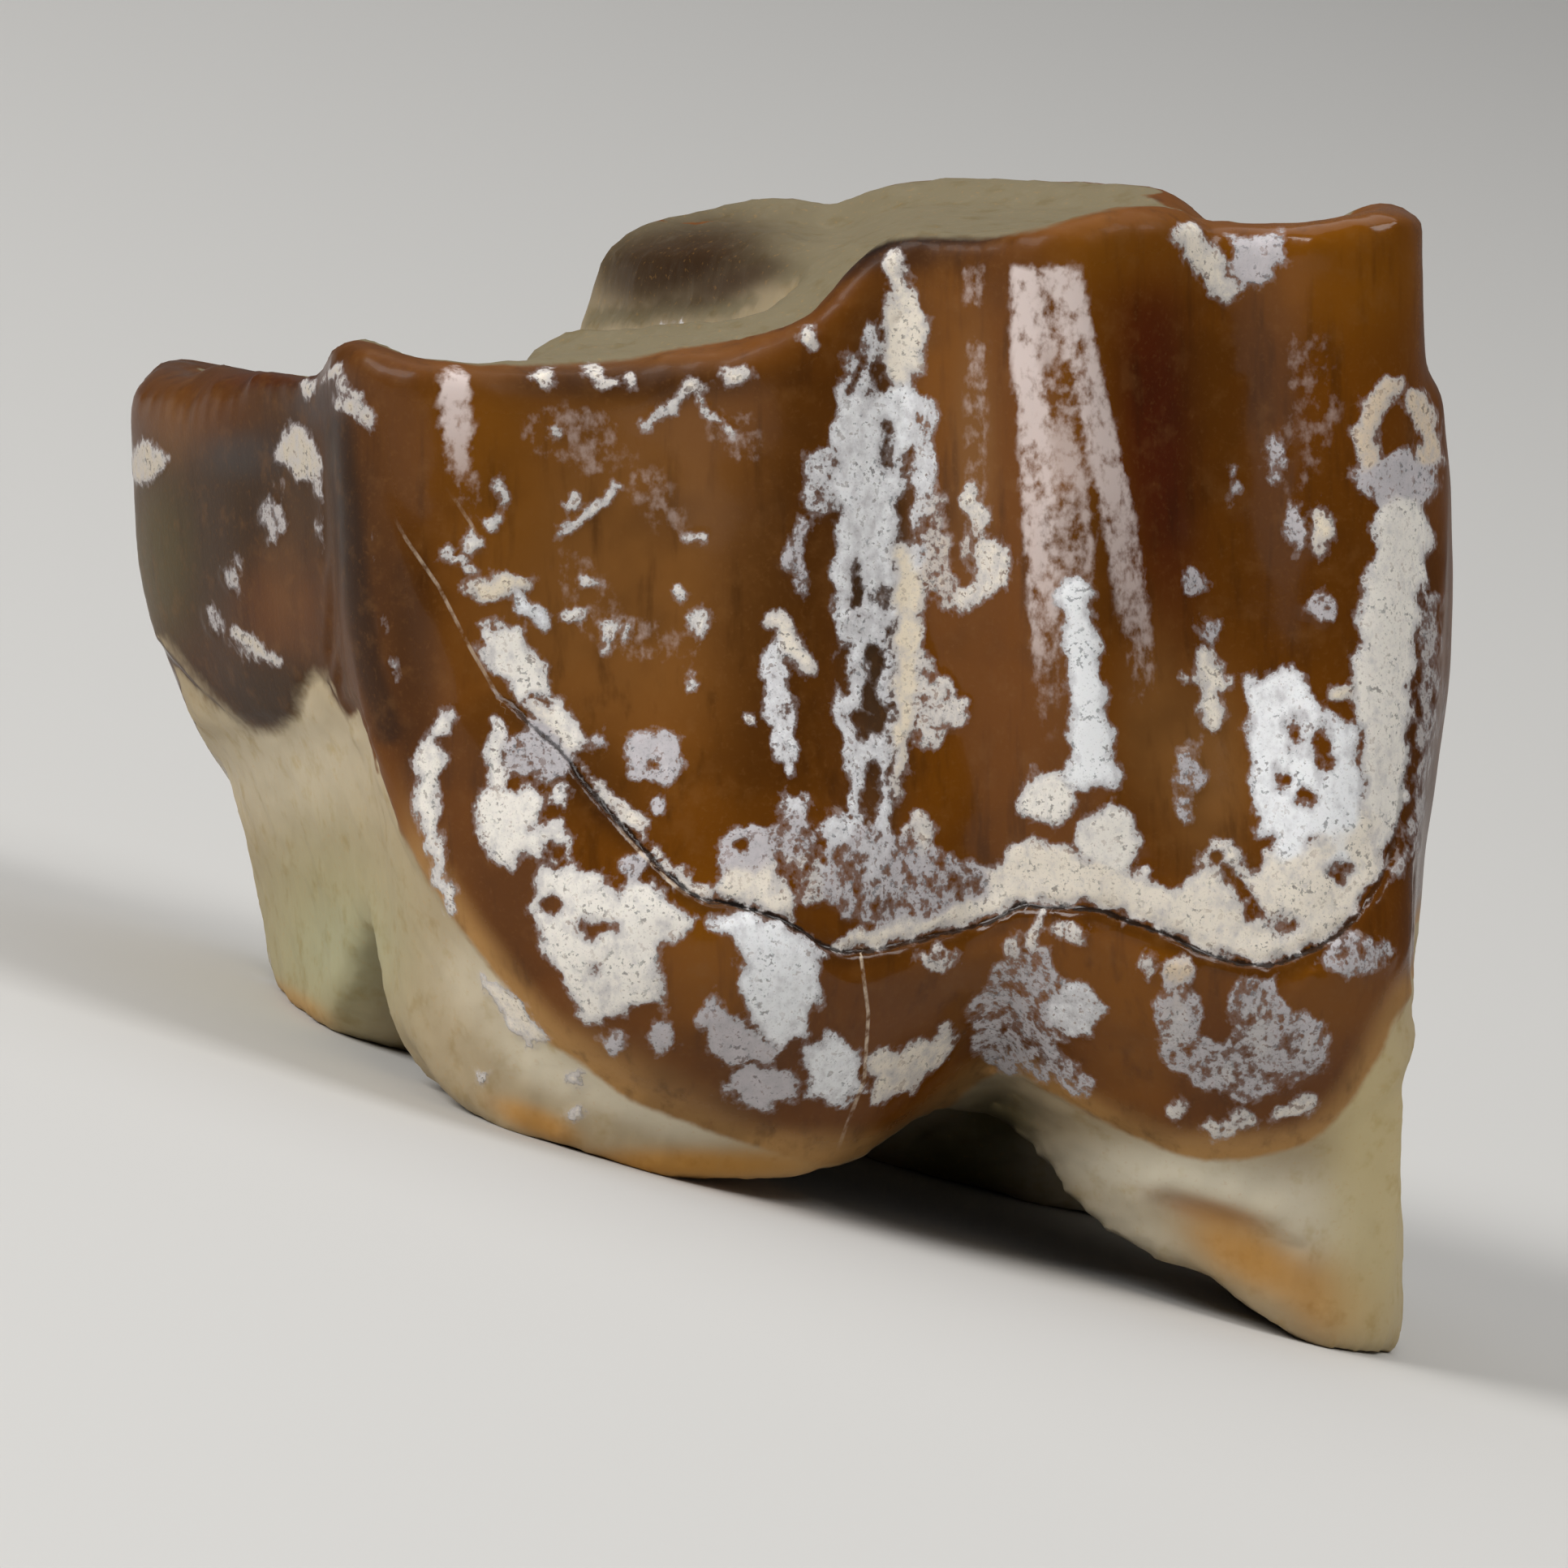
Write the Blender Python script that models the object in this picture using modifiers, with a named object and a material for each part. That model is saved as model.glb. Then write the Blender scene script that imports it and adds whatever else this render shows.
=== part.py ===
"""Fossil running rhino tooth: one upper cheek tooth with its broken roots, as a single solid.

The tooth is shaped along its own axis, in millimetres: +X runs forward along the outer wall, +Y runs from the
outer wall to the tongue side, and +Z runs up to the worn crown. It is then leaned over onto its broken roots,
scaled to metres and set on the origin, which is the centre of its bounding box at the floor.
"""

import math

import bmesh
import bpy
import numpy as np
from mathutils import Matrix, Vector

# Size and stance, in millimetres and degrees, with MM as metres in a millimetre
MM = 0.001
LEAN_DEG = 15.7
REST_OFFSET = -0.776
FLAT_DEPTH = 0.12

# The blank: a loft through the outlines below
TOP_OF_BLANK = 23.0
BOTTOM_OF_BLANK = -7.0
RING_STEP = 0.6
POINTS_PER_LANDMARK = 6

# The grids that cut the crown and the underside
GRID_LENGTH = 34.0
GRID_DEPTH = 30.0
GRID_MIDDLE_Y = 9.0
GRID_STEP = 0.32
GRID_OVERLAP = 3.0

# The skin
VOXEL = 0.26
SOFTEN_FACTOR = 0.5
SOFTEN_PASSES = 4
TRIANGLE_BUDGET = 9000

# Enamel over the roots
ENAMEL_STEP = 0.32
ENAMEL_STEP_RUN = 0.5
NECK_MIDDLE = (0.5, 9.5)

# The ledge low on the outer wall
LEDGE_HEIGHT = 0.42
LEDGE_RUN = 0.22
LEDGE_FADE = 4.5
LEDGE_SLOPE_REACH = 0.2

# The shelf high on the front face, and the collar round the tongue side
SHELF_TOP = 15.6
SHELF_DEPTH = 0.28
SHELF_RUN = 0.35
SHELF_FADE = 5.0
COLLAR_RISE = 2.3
COLLAR_DEPTH = 0.34
COLLAR_WIDTH = 0.55

# The worn crown: dentine scooped out between enamel rims, and how steep the hollows' banks are
DENTINE_SCOOP = 0.42
RIM_WIDTH = 0.75
SCOOP_RUN = 0.7
HOLLOW_FLOOR_SHARE = 0.3
HOLLOW_BANK = 0.1

# The underside: broken away between the root stumps
UNDERSIDE_HOLLOW = 3.5
UNDERSIDE_RUN = 2.2
OUTER_RIM_START = 3.4
OUTER_RIM_END = 5.2

# Heights of the five outlines of the tooth: root end, neck, swelling, wall and worn edge
LEVELS = (-5.5, 1.0, 5.0, 11.0, 18.0)

# Each rib or groove of the wall, as its (x, y) at every level, round the tooth from the back outer corner
LANDMARKS = {
    "metastyle": ((-6.9, 3.4), (-7.3, 2.8), (-7.5, 2.0), (-8.35, 1.5), (-8.75, 1.9)),
    "metacone_rib": ((-5.2, 1.8), (-5.4, 1.0), (-5.6, 0.0), (-6.4, 0.5), (-6.9, 1.0)),
    "metacone_hollow": ((-2.4, 1.4), (-2.4, 0.4), (-2.6, -0.8), (-3.2, 1.2), (-3.4, 1.7)),
    "middle_wall": ((0.2, 2.4), (0.4, 1.1), (0.4, -0.4), (0.0, 1.0), (0.0, 1.4)),
    "middle_groove": ((1.8, 4.4), (2.5, 2.9), (2.4, 0.6), (2.3, 1.8), (2.3, 2.1)),
    "paracone_back": ((4.5, 6.0), (4.3, 4.0), (4.2, 1.2), (4.1, 1.2), (3.9, 1.4)),
    "paracone_rib": ((7.0, 4.6), (6.0, 2.6), (6.2, 0.5), (5.8, 0.0), (5.6, 0.6)),
    "paracone_front": ((8.4, 3.2), (7.9, 1.8), (7.9, 0.2), (7.4, 1.0), (7.3, 1.5)),
    "parastyle_groove": ((9.7, 2.6), (9.5, 1.7), (9.5, 0.5), (8.9, 2.1), (8.8, 2.7)),
    "parastyle": ((11.2, 2.8), (11.2, 2.1), (11.2, 1.2), (11.1, 1.7), (11.0, 2.3)),
    "parastyle_corner": ((12.3, 4.5), (12.4, 3.4), (12.2, 2.6), (12.6, 2.9), (12.6, 3.3)),
    "front_cingulum": ((12.55, 7.0), (12.4, 7.0), (12.7, 7.0), (13.3, 7.0), (12.1, 6.5)),
    "front_face": ((9.5, 9.8), (10.8, 10.8), (11.8, 11.2), (11.8, 11.0), (10.8, 10.0)),
    "protocone_front": ((6.8, 15.0), (8.0, 15.8), (9.2, 16.8), (8.8, 16.2), (7.5, 14.8)),
    "protocone": ((2.8, 17.6), (3.0, 19.0), (3.6, 20.4), (3.4, 19.6), (2.6, 17.6)),
    "protocone_back": ((-0.5, 16.6), (-1.5, 18.6), (-1.9, 20.0), (-2.0, 19.4), (-1.8, 17.6)),
    "valley_mouth": ((-4.0, 13.5), (-5.0, 17.6), (-5.0, 18.6), (-5.0, 17.2), (-4.4, 15.6)),
    "hypocone_front": ((-7.0, 16.5), (-7.6, 18.0), (-8.0, 19.2), (-8.0, 18.4), (-7.2, 16.8)),
    "hypocone": ((-9.4, 15.6), (-10.2, 17.0), (-10.9, 18.2), (-11.5, 18.0), (-11.0, 16.8)),
    "hypocone_back": ((-9.6, 12.6), (-10.4, 13.2), (-11.0, 13.6), (-13.0, 13.6), (-13.15, 13.4)),
    "back_face": ((-9.0, 9.4), (-9.6, 9.2), (-9.7, 9.0), (-11.2, 8.8), (-11.8, 8.6)),
    "back_groove": ((-7.8, 6.2), (-8.3, 5.6), (-8.3, 5.0), (-8.9, 4.6), (-9.3, 4.6)),
}

# Height of the worn outer edge along the wall, as (x, z)
OUTER_EDGE = (
    (-13.0, 15.4), (-9.4, 15.9), (-8.7, 16.85), (-7.6, 16.5), (-6.3, 16.35), (-3.5, 16.55), (-0.3, 16.95),
    (0.6, 17.35), (1.4, 18.15), (2.0, 18.7), (2.7, 18.85), (3.8, 18.75), (5.5, 19.1), (7.1, 19.5),
    (8.1, 19.3), (8.8, 19.05), (10.4, 19.1), (12.0, 19.35), (14.0, 19.35),
)
# Height of the worn surface on the tongue side, as (x, z)
INNER_TABLE = (
    (-14.0, 15.4), (-12.6, 15.2), (-11.0, 14.7), (-8.0, 14.4), (-6.0, 14.5), (-4.6, 15.0), (-3.9, 16.4),
    (-3.1, 17.8), (-0.3, 18.35), (1.1, 18.1), (2.4, 18.7), (4.0, 18.75), (7.8, 18.85), (8.7, 18.1),
    (9.6, 17.8), (13.0, 17.4),
)
# Where the worn surface starts and ends its way from the outer edge to the tongue side, as (x, y)
TABLE_START = ((-6.5, 2.5), (-4.5, 8.4), (-2.0, 8.4), (1.5, 4.5))
TABLE_END = ((-6.5, 9.0), (-4.5, 12.0), (-2.0, 12.0), (1.5, 10.5))

# The middle valley, as (x, y, floor z, half width), and the pit behind the back crest
VALLEY = (
    (-7.2, 20.5, 6.5, 2.6), (-6.0, 16.0, 9.0, 2.1), (-4.4, 12.5, 11.0, 1.85), (-2.4, 9.6, 12.5, 1.7),
    (-0.6, 8.2, 13.8, 1.3),
)
BACK_PIT = ((-9.9, 10.4, 11.0, 1.0), (-8.9, 7.4, 11.5, 1.1))

# How far the broken lower rim of the outer wall stands above the floor, as (x, lift)
RIM_LIFT = (
    (-8.2, 1.6), (-7.6, 1.1), (-6.9, 0.3), (-6.0, 0.0), (-2.7, 0.0), (-1.1, 0.35), (0.6, 0.88), (1.5, 1.3),
    (2.9, 2.54), (5.3, 1.3), (6.0, 0.95), (8.7, 0.85), (9.7, 0.4), (10.6, 0.0), (12.2, 0.0), (12.8, 0.5),
)
# Root stumps that reach the floor, as (x, y, radius in x, radius in y)
STUMPS = ((-4.0, 3.2, 3.4, 2.6), (11.2, 6.6, 1.7, 3.6), (-8.6, 13.2, 2.2, 4.0), (3.2, 15.6, 4.2, 3.0))

# Where the enamel ends above the roots, as (x, y, z) round the tooth
NECK_LINE = (
    (-8.0, 2.0, 9.5), (-7.6, 2.0, 7.5), (-7.0, 1.2, 5.9), (-6.3, 0.6, 4.75), (-5.3, 0.3, 3.55),
    (-4.4, 0.0, 2.6), (-2.7, 0.0, 1.65), (-1.1, 0.3, 0.95), (0.6, 0.8, 0.4), (1.5, 1.6, 0.35),
    (3.0, 2.4, 1.1), (4.2, 2.6, 1.8), (5.3, 2.2, 1.4), (6.3, 1.8, 1.1), (7.9, 1.4, 0.5), (9.6, 1.4, 0.2),
    (11.0, 2.0, 0.8), (12.0, 3.0, 2.0), (12.6, 5.0, 3.0), (12.7, 8.0, 4.0), (11.3, 11.5, 4.2),
    (8.6, 16.4, 3.5), (3.4, 20.0, 3.0), (-2.0, 19.6, 3.2), (-5.0, 18.2, 4.6), (-8.0, 19.0, 4.8),
    (-11.0, 17.8, 5.8), (-11.8, 13.6, 7.6), (-10.6, 9.0, 8.2), (-8.6, 4.9, 8.8),
)
# The ledge's course along the outer wall, as (x, z)
LEDGE_LINE = (
    (-8.9, 15.0), (-8.0, 13.8), (-6.7, 11.6), (-5.7, 9.8), (-4.4, 8.4), (-3.4, 7.2), (-2.2, 6.05),
    (-1.4, 5.55), (-0.4, 5.4), (0.6, 4.75), (1.05, 4.46), (2.2, 4.75), (3.5, 5.0), (4.8, 5.5), (6.0, 5.44),
    (7.1, 5.1), (8.4, 4.6), (10.1, 4.3), (11.05, 4.8), (12.0, 6.4), (12.4, 8.2), (12.65, 10.2), (12.9, 13.0),
)
# The share of its height that the ledge has along the wall, as (x, share)
LEDGE_SHARE = ((-8.9, 0.15), (-6.0, 0.35), (-3.5, 0.9), (4.0, 1.0), (6.0, 0.8), (10.5, 1.0), (12.9, 0.8))

ENAMEL_BROWN = (0.20, 0.07, 0.015, 1.0)
ENAMEL_ROUGHNESS = 0.3


def clear_scene():
    for obj in list(bpy.data.objects):
        bpy.data.objects.remove(obj)


def collection_named(name):
    made = bpy.data.collections.new(name)
    bpy.context.scene.collection.children.link(made)
    return made


def object_from(mesh, name, home):
    """Turns a bmesh into a named object in a collection."""
    data = bpy.data.meshes.new(name)
    mesh.to_mesh(data)
    mesh.free()
    obj = bpy.data.objects.new(name, data)
    home.objects.link(obj)
    return obj


def smoothstep(low, high, value):
    """0 at low, 1 at high, with a soft S between."""
    t = np.clip((value - low) / (high - low), 0.0, 1.0)
    return t * t * (3.0 - 2.0 * t)


def bump(centre, width, value):
    """1 at the centre, fading away on both sides."""
    return np.exp(-(((value - centre) / width) ** 2))


def along(table, x):
    """The second number of a table of (x, value) pairs, read at x with straight runs between."""
    pairs = np.array(table)
    return np.interp(x, pairs[:, 0], pairs[:, 1])


def catmull_rom(before, start, end, after, t):
    """A smooth step from start to end, for one value or for arrays of them."""
    return 0.5 * (
        2 * start
        + (end - before) * t
        + (2 * before - 5 * start + 4 * end - after) * t**2
        + (3 * start - before - 3 * end + after) * t**3
    )


def outline_at(height):
    """The closed outline of the tooth at one height, as an array of (x, y)."""
    knots = np.array(list(LANDMARKS.values())).transpose(1, 0, 2)
    last = len(LEVELS) - 1
    level = min(max(height, LEVELS[0]), LEVELS[last])
    k = min(int(np.searchsorted(LEVELS, level, side="right")) - 1, last - 1)
    t = (level - LEVELS[k]) / (LEVELS[k + 1] - LEVELS[k])
    corners = catmull_rom(knots[max(k - 1, 0)], knots[k], knots[k + 1], knots[min(k + 2, last)], t)
    ring = []
    count = len(corners)
    for i in range(count):
        around = [corners[(i + j) % count] for j in (-1, 0, 1, 2)]
        for step in range(POINTS_PER_LANDMARK):
            ring.append(catmull_rom(*around, step / POINTS_PER_LANDMARK))
    return np.array(ring)


def make_blank(home):
    """The tooth as a tall loft through its outlines, before its crown and its roots are cut."""
    mesh = bmesh.new()
    rings = []
    for height in np.arange(BOTTOM_OF_BLANK, TOP_OF_BLANK, RING_STEP):
        rings.append([mesh.verts.new((x, y, height)) for x, y in outline_at(height)])
    for lower, upper in zip(rings, rings[1:]):
        count = len(lower)
        for i in range(count):
            j = (i + 1) % count
            mesh.faces.new((lower[i], lower[j], upper[j], upper[i]))
    mesh.faces.new(list(reversed(rings[0])))
    mesh.faces.new(rings[-1])
    bmesh.ops.recalc_face_normals(mesh, faces=mesh.faces[:])
    return object_from(mesh, "blank", home)


def distance_to_line(points, x, y):
    """Distance from each (x, y) to a broken line, and the line's other values at the nearest place."""
    best = np.full(np.shape(x), np.inf)
    values = np.zeros(np.shape(x) + (len(points[0]) - 2,))
    for start, end in zip(np.array(points[:-1]), np.array(points[1:])):
        run = end[:2] - start[:2]
        t = ((x - start[0]) * run[0] + (y - start[1]) * run[1]) / run.dot(run)
        t = np.clip(t, 0.0, 1.0)
        gap = np.hypot(x - start[0] - t * run[0], y - start[1] - t * run[1])
        nearer = gap < best
        best = np.where(nearer, gap, best)
        here = start[2:] + t[..., None] * (end[2:] - start[2:])
        values = np.where(nearer[..., None], here, values)
    return best, values


def crown_height(x, y):
    """Height of the worn crown over a place (x, y) of the tooth's plan."""
    share = smoothstep(along(TABLE_START, x), along(TABLE_END, x), y)
    table = (1 - share) * along(OUTER_EDGE, x) + share * along(INNER_TABLE, x)
    edge = [(*point, 0.0) for point in outline_at(LEVELS[-1])]
    walls, _ = distance_to_line(edge + edge[:1], x, y)
    hollows = []
    for hollow in (VALLEY, BACK_PIT):
        gap, values = distance_to_line(hollow, x, y)
        floor = values[..., 0]
        half = values[..., 1]
        hollows.append((gap, floor, half))
        walls = np.minimum(walls, np.abs(gap - half))
    table = table - DENTINE_SCOOP * smoothstep(RIM_WIDTH, RIM_WIDTH + SCOOP_RUN, walls)
    for gap, floor, half in hollows:
        bank = smoothstep(HOLLOW_FLOOR_SHARE * half, half + HOLLOW_BANK, gap)
        table = np.minimum(table, floor + (table - floor) * bank)
    return table


def floor_height(x):
    """Height of the floor under the leaning tooth, in the tooth's own frame."""
    return REST_OFFSET - math.tan(math.radians(LEAN_DEG)) * x


def underside_height(x, y):
    """Height of the broken underside over a place (x, y) of the tooth's plan."""
    outside = np.full(np.shape(x), np.inf)
    for centre_x, centre_y, radius_x, radius_y in STUMPS:
        reach = np.hypot((x - centre_x) / radius_x, (y - centre_y) / radius_y)
        outside = np.minimum(outside, (reach - 1.0) * min(radius_x, radius_y))
    hollow = UNDERSIDE_HOLLOW * smoothstep(0.0, UNDERSIDE_RUN, outside)
    inside = smoothstep(OUTER_RIM_START, OUTER_RIM_END, y)
    lift = (1.0 - inside) * along(RIM_LIFT, x) + inside * hollow
    return floor_height(x) - FLAT_DEPTH + lift


def make_relief_cutter(name, height, far, home):
    """A block whose near side follows height(x, y) and whose far side is flat at z = far."""
    mesh = bmesh.new()
    place = Matrix.Translation((0.0, GRID_MIDDLE_Y, 0.0))
    bmesh.ops.create_grid(
        mesh,
        x_segments=round(GRID_LENGTH / GRID_STEP),
        y_segments=round(GRID_DEPTH / GRID_STEP),
        size=0.5,
        matrix=place @ Matrix.Diagonal((GRID_LENGTH, GRID_DEPTH, 1.0, 1.0)),
    )
    grown = bmesh.ops.extrude_face_region(mesh, geom=mesh.faces[:])
    far_side = {item for item in grown["geom"] if isinstance(item, bmesh.types.BMVert)}
    near_side = [vert for vert in mesh.verts if vert not in far_side]
    for vert in far_side:
        vert.co.z = far
    places = np.array([vert.co for vert in near_side])
    for vert, z in zip(near_side, height(places[:, 0], places[:, 1])):
        vert.co.z = z
    bmesh.ops.recalc_face_normals(mesh, faces=mesh.faces[:])
    cutter = object_from(mesh, name, home)
    cutter.hide_render = True
    cutter.display_type = "WIRE"
    return cutter


def cut(obj, cutter):
    """Takes the cutter away from an object."""
    boolean = obj.modifiers.new("cut_" + cutter.name, "BOOLEAN")
    boolean.operation = "DIFFERENCE"
    boolean.solver = "EXACT"
    boolean.object = cutter


def bake(obj):
    """Replaces an object's mesh by what its modifiers make of it."""
    graph = bpy.context.evaluated_depsgraph_get()
    made = bpy.data.meshes.new_from_object(obj.evaluated_get(graph))
    obj.modifiers.clear()
    obj.data = made


def fuse_and_soften(obj):
    """Turns the cut blank into one even skin with soft corners."""
    skin = obj.modifiers.new("skin", "REMESH")
    skin.mode = "VOXEL"
    skin.voxel_size = VOXEL
    soften = obj.modifiers.new("soften", "SMOOTH")
    soften.factor = SOFTEN_FACTOR
    soften.iterations = SOFTEN_PASSES
    bake(obj)


def neck_height(x, y):
    """Height of the enamel's lower edge, read by the direction from the middle of the tooth."""
    line = np.array(NECK_LINE)
    angles = np.arctan2(line[:, 1] - NECK_MIDDLE[1], line[:, 0] - NECK_MIDDLE[0])
    order = np.argsort(angles)
    direction = np.arctan2(y - NECK_MIDDLE[1], x - NECK_MIDDLE[0])
    return np.interp(direction, angles[order], line[order, 2], period=2 * math.pi)


def enamel_lip(x, y, z, facing):
    """How far the enamel stands out over the roots."""
    side = smoothstep(0.75, 0.35, np.abs(facing[2]))
    return ENAMEL_STEP * smoothstep(-0.5, 0.5, (z - neck_height(x, y)) / ENAMEL_STEP_RUN) * side


def outer_ledge(x, y, z, facing):
    """How far the outer wall bulges under its ledge."""
    wall = smoothstep(0.1, 0.45, -facing[1]) * smoothstep(6.0, 4.0, y)
    rise = along(LEDGE_LINE, x + LEDGE_SLOPE_REACH) - along(LEDGE_LINE, x - LEDGE_SLOPE_REACH)
    slope = rise / (2 * LEDGE_SLOPE_REACH)
    below = (along(LEDGE_LINE, x) - z) / np.sqrt(1.0 + slope**2)
    edge = smoothstep(-0.5, 0.5, below / LEDGE_RUN)
    fade = smoothstep(LEDGE_FADE, 0.8, below)
    return LEDGE_HEIGHT * along(LEDGE_SHARE, x) * edge * fade * wall


def front_shelf(x, y, z, facing):
    """How far the front face stands out below its shelf."""
    front = smoothstep(0.45, 0.8, facing[0]) * smoothstep(3.0, 4.0, y) * smoothstep(11.0, 9.0, y)
    edge = smoothstep(-0.5, 0.5, (SHELF_TOP - z) / SHELF_RUN)
    fade = smoothstep(SHELF_TOP - SHELF_FADE, SHELF_TOP - 1.0, z)
    return SHELF_DEPTH * edge * fade * front


def tongue_collar(x, y, z, facing):
    """How far a low collar stands out round the tongue side, above the neck."""
    side = smoothstep(0.75, 0.35, np.abs(facing[2]))
    inward = smoothstep(-0.1, 0.35, facing[1] + 0.6 * facing[0]) * smoothstep(9.0, 12.0, y)
    return COLLAR_DEPTH * bump(COLLAR_RISE, COLLAR_WIDTH, z - neck_height(x, y)) * inward * side


def sculpt(obj):
    """Raises the forms that stand out from the skin, each along the skin's own direction."""
    mesh = obj.data
    flat = np.empty(len(mesh.vertices) * 3, np.float32)
    mesh.vertices.foreach_get("co", flat)
    places = flat.reshape(-1, 3).astype(float)
    mesh.vertices.foreach_get("normal", flat)
    normals = flat.reshape(-1, 3).astype(float)
    raised = np.zeros(len(places))
    for form in (enamel_lip, outer_ledge, front_shelf, tongue_collar):
        raised += form(*places.T, normals.T)
    places += normals * raised[:, None]
    mesh.vertices.foreach_set("co", places.astype(np.float32).ravel())
    mesh.update()


def thin_out(obj):
    """Brings the skin down to the triangle budget, keeping its ridges."""
    obj.data.calc_loop_triangles()
    thin = obj.modifiers.new("thin", "DECIMATE")
    thin.ratio = TRIANGLE_BUDGET / len(obj.data.loop_triangles)
    bake(obj)


def set_on_floor(obj):
    """Leans the tooth onto its broken roots, in metres, and cuts the flats that it stands on."""
    lean = Matrix.Rotation(-math.radians(LEAN_DEG), 4, "Y")
    obj.data.transform(Matrix.Scale(MM, 4) @ lean)
    floor = REST_OFFSET * math.cos(math.radians(LEAN_DEG)) * MM
    mesh = bmesh.new()
    mesh.from_mesh(obj.data)
    sliced = bmesh.ops.bisect_plane(
        mesh,
        geom=mesh.verts[:] + mesh.edges[:] + mesh.faces[:],
        dist=1e-7,
        plane_co=(0.0, 0.0, floor),
        plane_no=(0.0, 0.0, 1.0),
        clear_inner=True,
    )
    rims = [item for item in sliced["geom_cut"] if isinstance(item, bmesh.types.BMEdge)]
    bmesh.ops.edgenet_fill(mesh, edges=rims)
    bmesh.ops.triangulate(mesh, faces=mesh.faces[:])
    bmesh.ops.recalc_face_normals(mesh, faces=mesh.faces[:])
    places = np.array([vert.co for vert in mesh.verts])
    middle = (places.min(0) + places.max(0)) / 2
    shift = Vector((-middle[0], -middle[1], -floor))
    bmesh.ops.translate(mesh, verts=mesh.verts[:], vec=shift)
    mesh.to_mesh(obj.data)
    mesh.free()
    return shift


def give_material(obj, name, colour, roughness):
    finish = bpy.data.materials.new(name)
    finish.use_nodes = True
    shader = finish.node_tree.nodes["Principled BSDF"]
    shader.inputs["Base Color"].default_value = colour
    shader.inputs["Roughness"].default_value = roughness
    shader.inputs["Metallic"].default_value = 0.0
    obj.data.materials.clear()
    obj.data.materials.append(finish)


def build_tooth():
    """Builds the tooth and returns the shift from its leaning frame to the origin, in metres."""
    clear_scene()
    tooth_home = collection_named("running_rhino_tooth")
    cutters = collection_named("cutters")
    tooth = make_blank(tooth_home)
    crown_top = TOP_OF_BLANK + GRID_OVERLAP
    root_bottom = BOTTOM_OF_BLANK - GRID_OVERLAP
    cut(tooth, make_relief_cutter("worn_crown", crown_height, crown_top, cutters))
    cut(tooth, make_relief_cutter("broken_underside", underside_height, root_bottom, cutters))
    bake(tooth)
    fuse_and_soften(tooth)
    sculpt(tooth)
    thin_out(tooth)
    shift = set_on_floor(tooth)
    tooth.name = "tooth"
    tooth.data.name = "tooth"
    tooth.data.shade_smooth()
    give_material(tooth, "enamel", ENAMEL_BROWN, ENAMEL_ROUGHNESS)
    return shift


build_tooth()
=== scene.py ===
"""Looks of the fossil running rhino tooth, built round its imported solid.

The specimen is grown from a copy of the solid: a fine even skin, sharpened along its ledge, its neck and
its worn edge, and painted with fields that the material turns into enamel, root, dentine and pale mineral
crust. Marks that the photograph shows are placed in its own pixels, on the side that the camera sees.
"""

import logging
import math
from dataclasses import dataclass, field
from enum import Enum

import bpy
import numpy as np
from mathutils import Matrix, Vector, noise


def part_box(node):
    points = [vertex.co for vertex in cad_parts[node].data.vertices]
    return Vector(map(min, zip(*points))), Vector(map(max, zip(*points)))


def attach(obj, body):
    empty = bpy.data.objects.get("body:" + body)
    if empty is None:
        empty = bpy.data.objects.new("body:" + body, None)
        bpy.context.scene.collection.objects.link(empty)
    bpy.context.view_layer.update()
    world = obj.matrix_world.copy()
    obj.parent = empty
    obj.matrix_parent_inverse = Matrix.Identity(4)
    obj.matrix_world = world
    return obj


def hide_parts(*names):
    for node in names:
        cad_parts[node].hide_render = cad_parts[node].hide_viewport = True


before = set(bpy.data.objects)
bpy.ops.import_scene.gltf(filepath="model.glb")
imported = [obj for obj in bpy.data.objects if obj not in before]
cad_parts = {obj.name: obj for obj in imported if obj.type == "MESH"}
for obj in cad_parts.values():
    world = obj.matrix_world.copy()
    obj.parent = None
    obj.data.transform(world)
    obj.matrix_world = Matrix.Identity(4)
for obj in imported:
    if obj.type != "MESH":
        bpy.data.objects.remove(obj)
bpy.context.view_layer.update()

LOG = logging.getLogger("rhino_tooth")
MM = 0.001

Points = tuple[tuple[float, ...], ...]


class Paint(Enum):
    """A named colour, in sRGB from 0 to 255."""

    @property
    def light(self) -> tuple[float, float, float]:
        """The colour in linear light, as Blender's shaders count it."""
        return linear(self.value)


class Tint(Paint):
    """Colours of the mineral crust."""

    CREAM = (240, 230, 214)
    WHITE = (242, 236, 226)
    BLUE = (246, 247, 248)
    YELLOW = (234, 220, 196)
    PEACH = (224, 204, 178)
    LILAC = (204, 197, 199)
    DUSTY = (196, 184, 166)
    GREY = (172, 160, 148)


class Tone(Paint):
    """Broad colours of enamel, dentine and root."""

    BROWN = (97, 51, 2)
    ORANGE = (132, 79, 6)
    AMBER = (186, 142, 86)
    MILKY = (128, 86, 42)
    DEEP = (46, 20, 0)
    BLOOD = (70, 14, 0)
    PLUM = (56, 35, 12)
    UMBER = (52, 32, 8)
    SLATE = (70, 76, 80)
    INK = (38, 40, 34)
    ROOT = (176, 158, 127)
    PALE_ROOT = (224, 214, 190)
    OLIVE = (166, 158, 120)
    MOSS = (88, 80, 40)
    HONEY = (194, 142, 72)
    RUST = (146, 92, 36)
    GREEN_ROOT = (172, 172, 140)
    STRAW = (216, 198, 148)
    # worn dentine of the top: its own tone, kept dark as painted shade where the top lies out of the light
    DENTINE = (121, 110, 85)


def linear(colour: tuple[float, float, float]) -> tuple[float, float, float]:
    """Turns a colour in sRGB from 0 to 255 into linear light.

    Args:
        colour: Red, green and blue.

    Returns:
        The same colour as Blender's shaders count it.
    """
    share = [channel / 255.0 for channel in colour]
    return tuple(c / 12.92 if c <= 0.04045 else ((c + 0.055) / 1.055) ** 2.4 for c in share)


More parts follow.
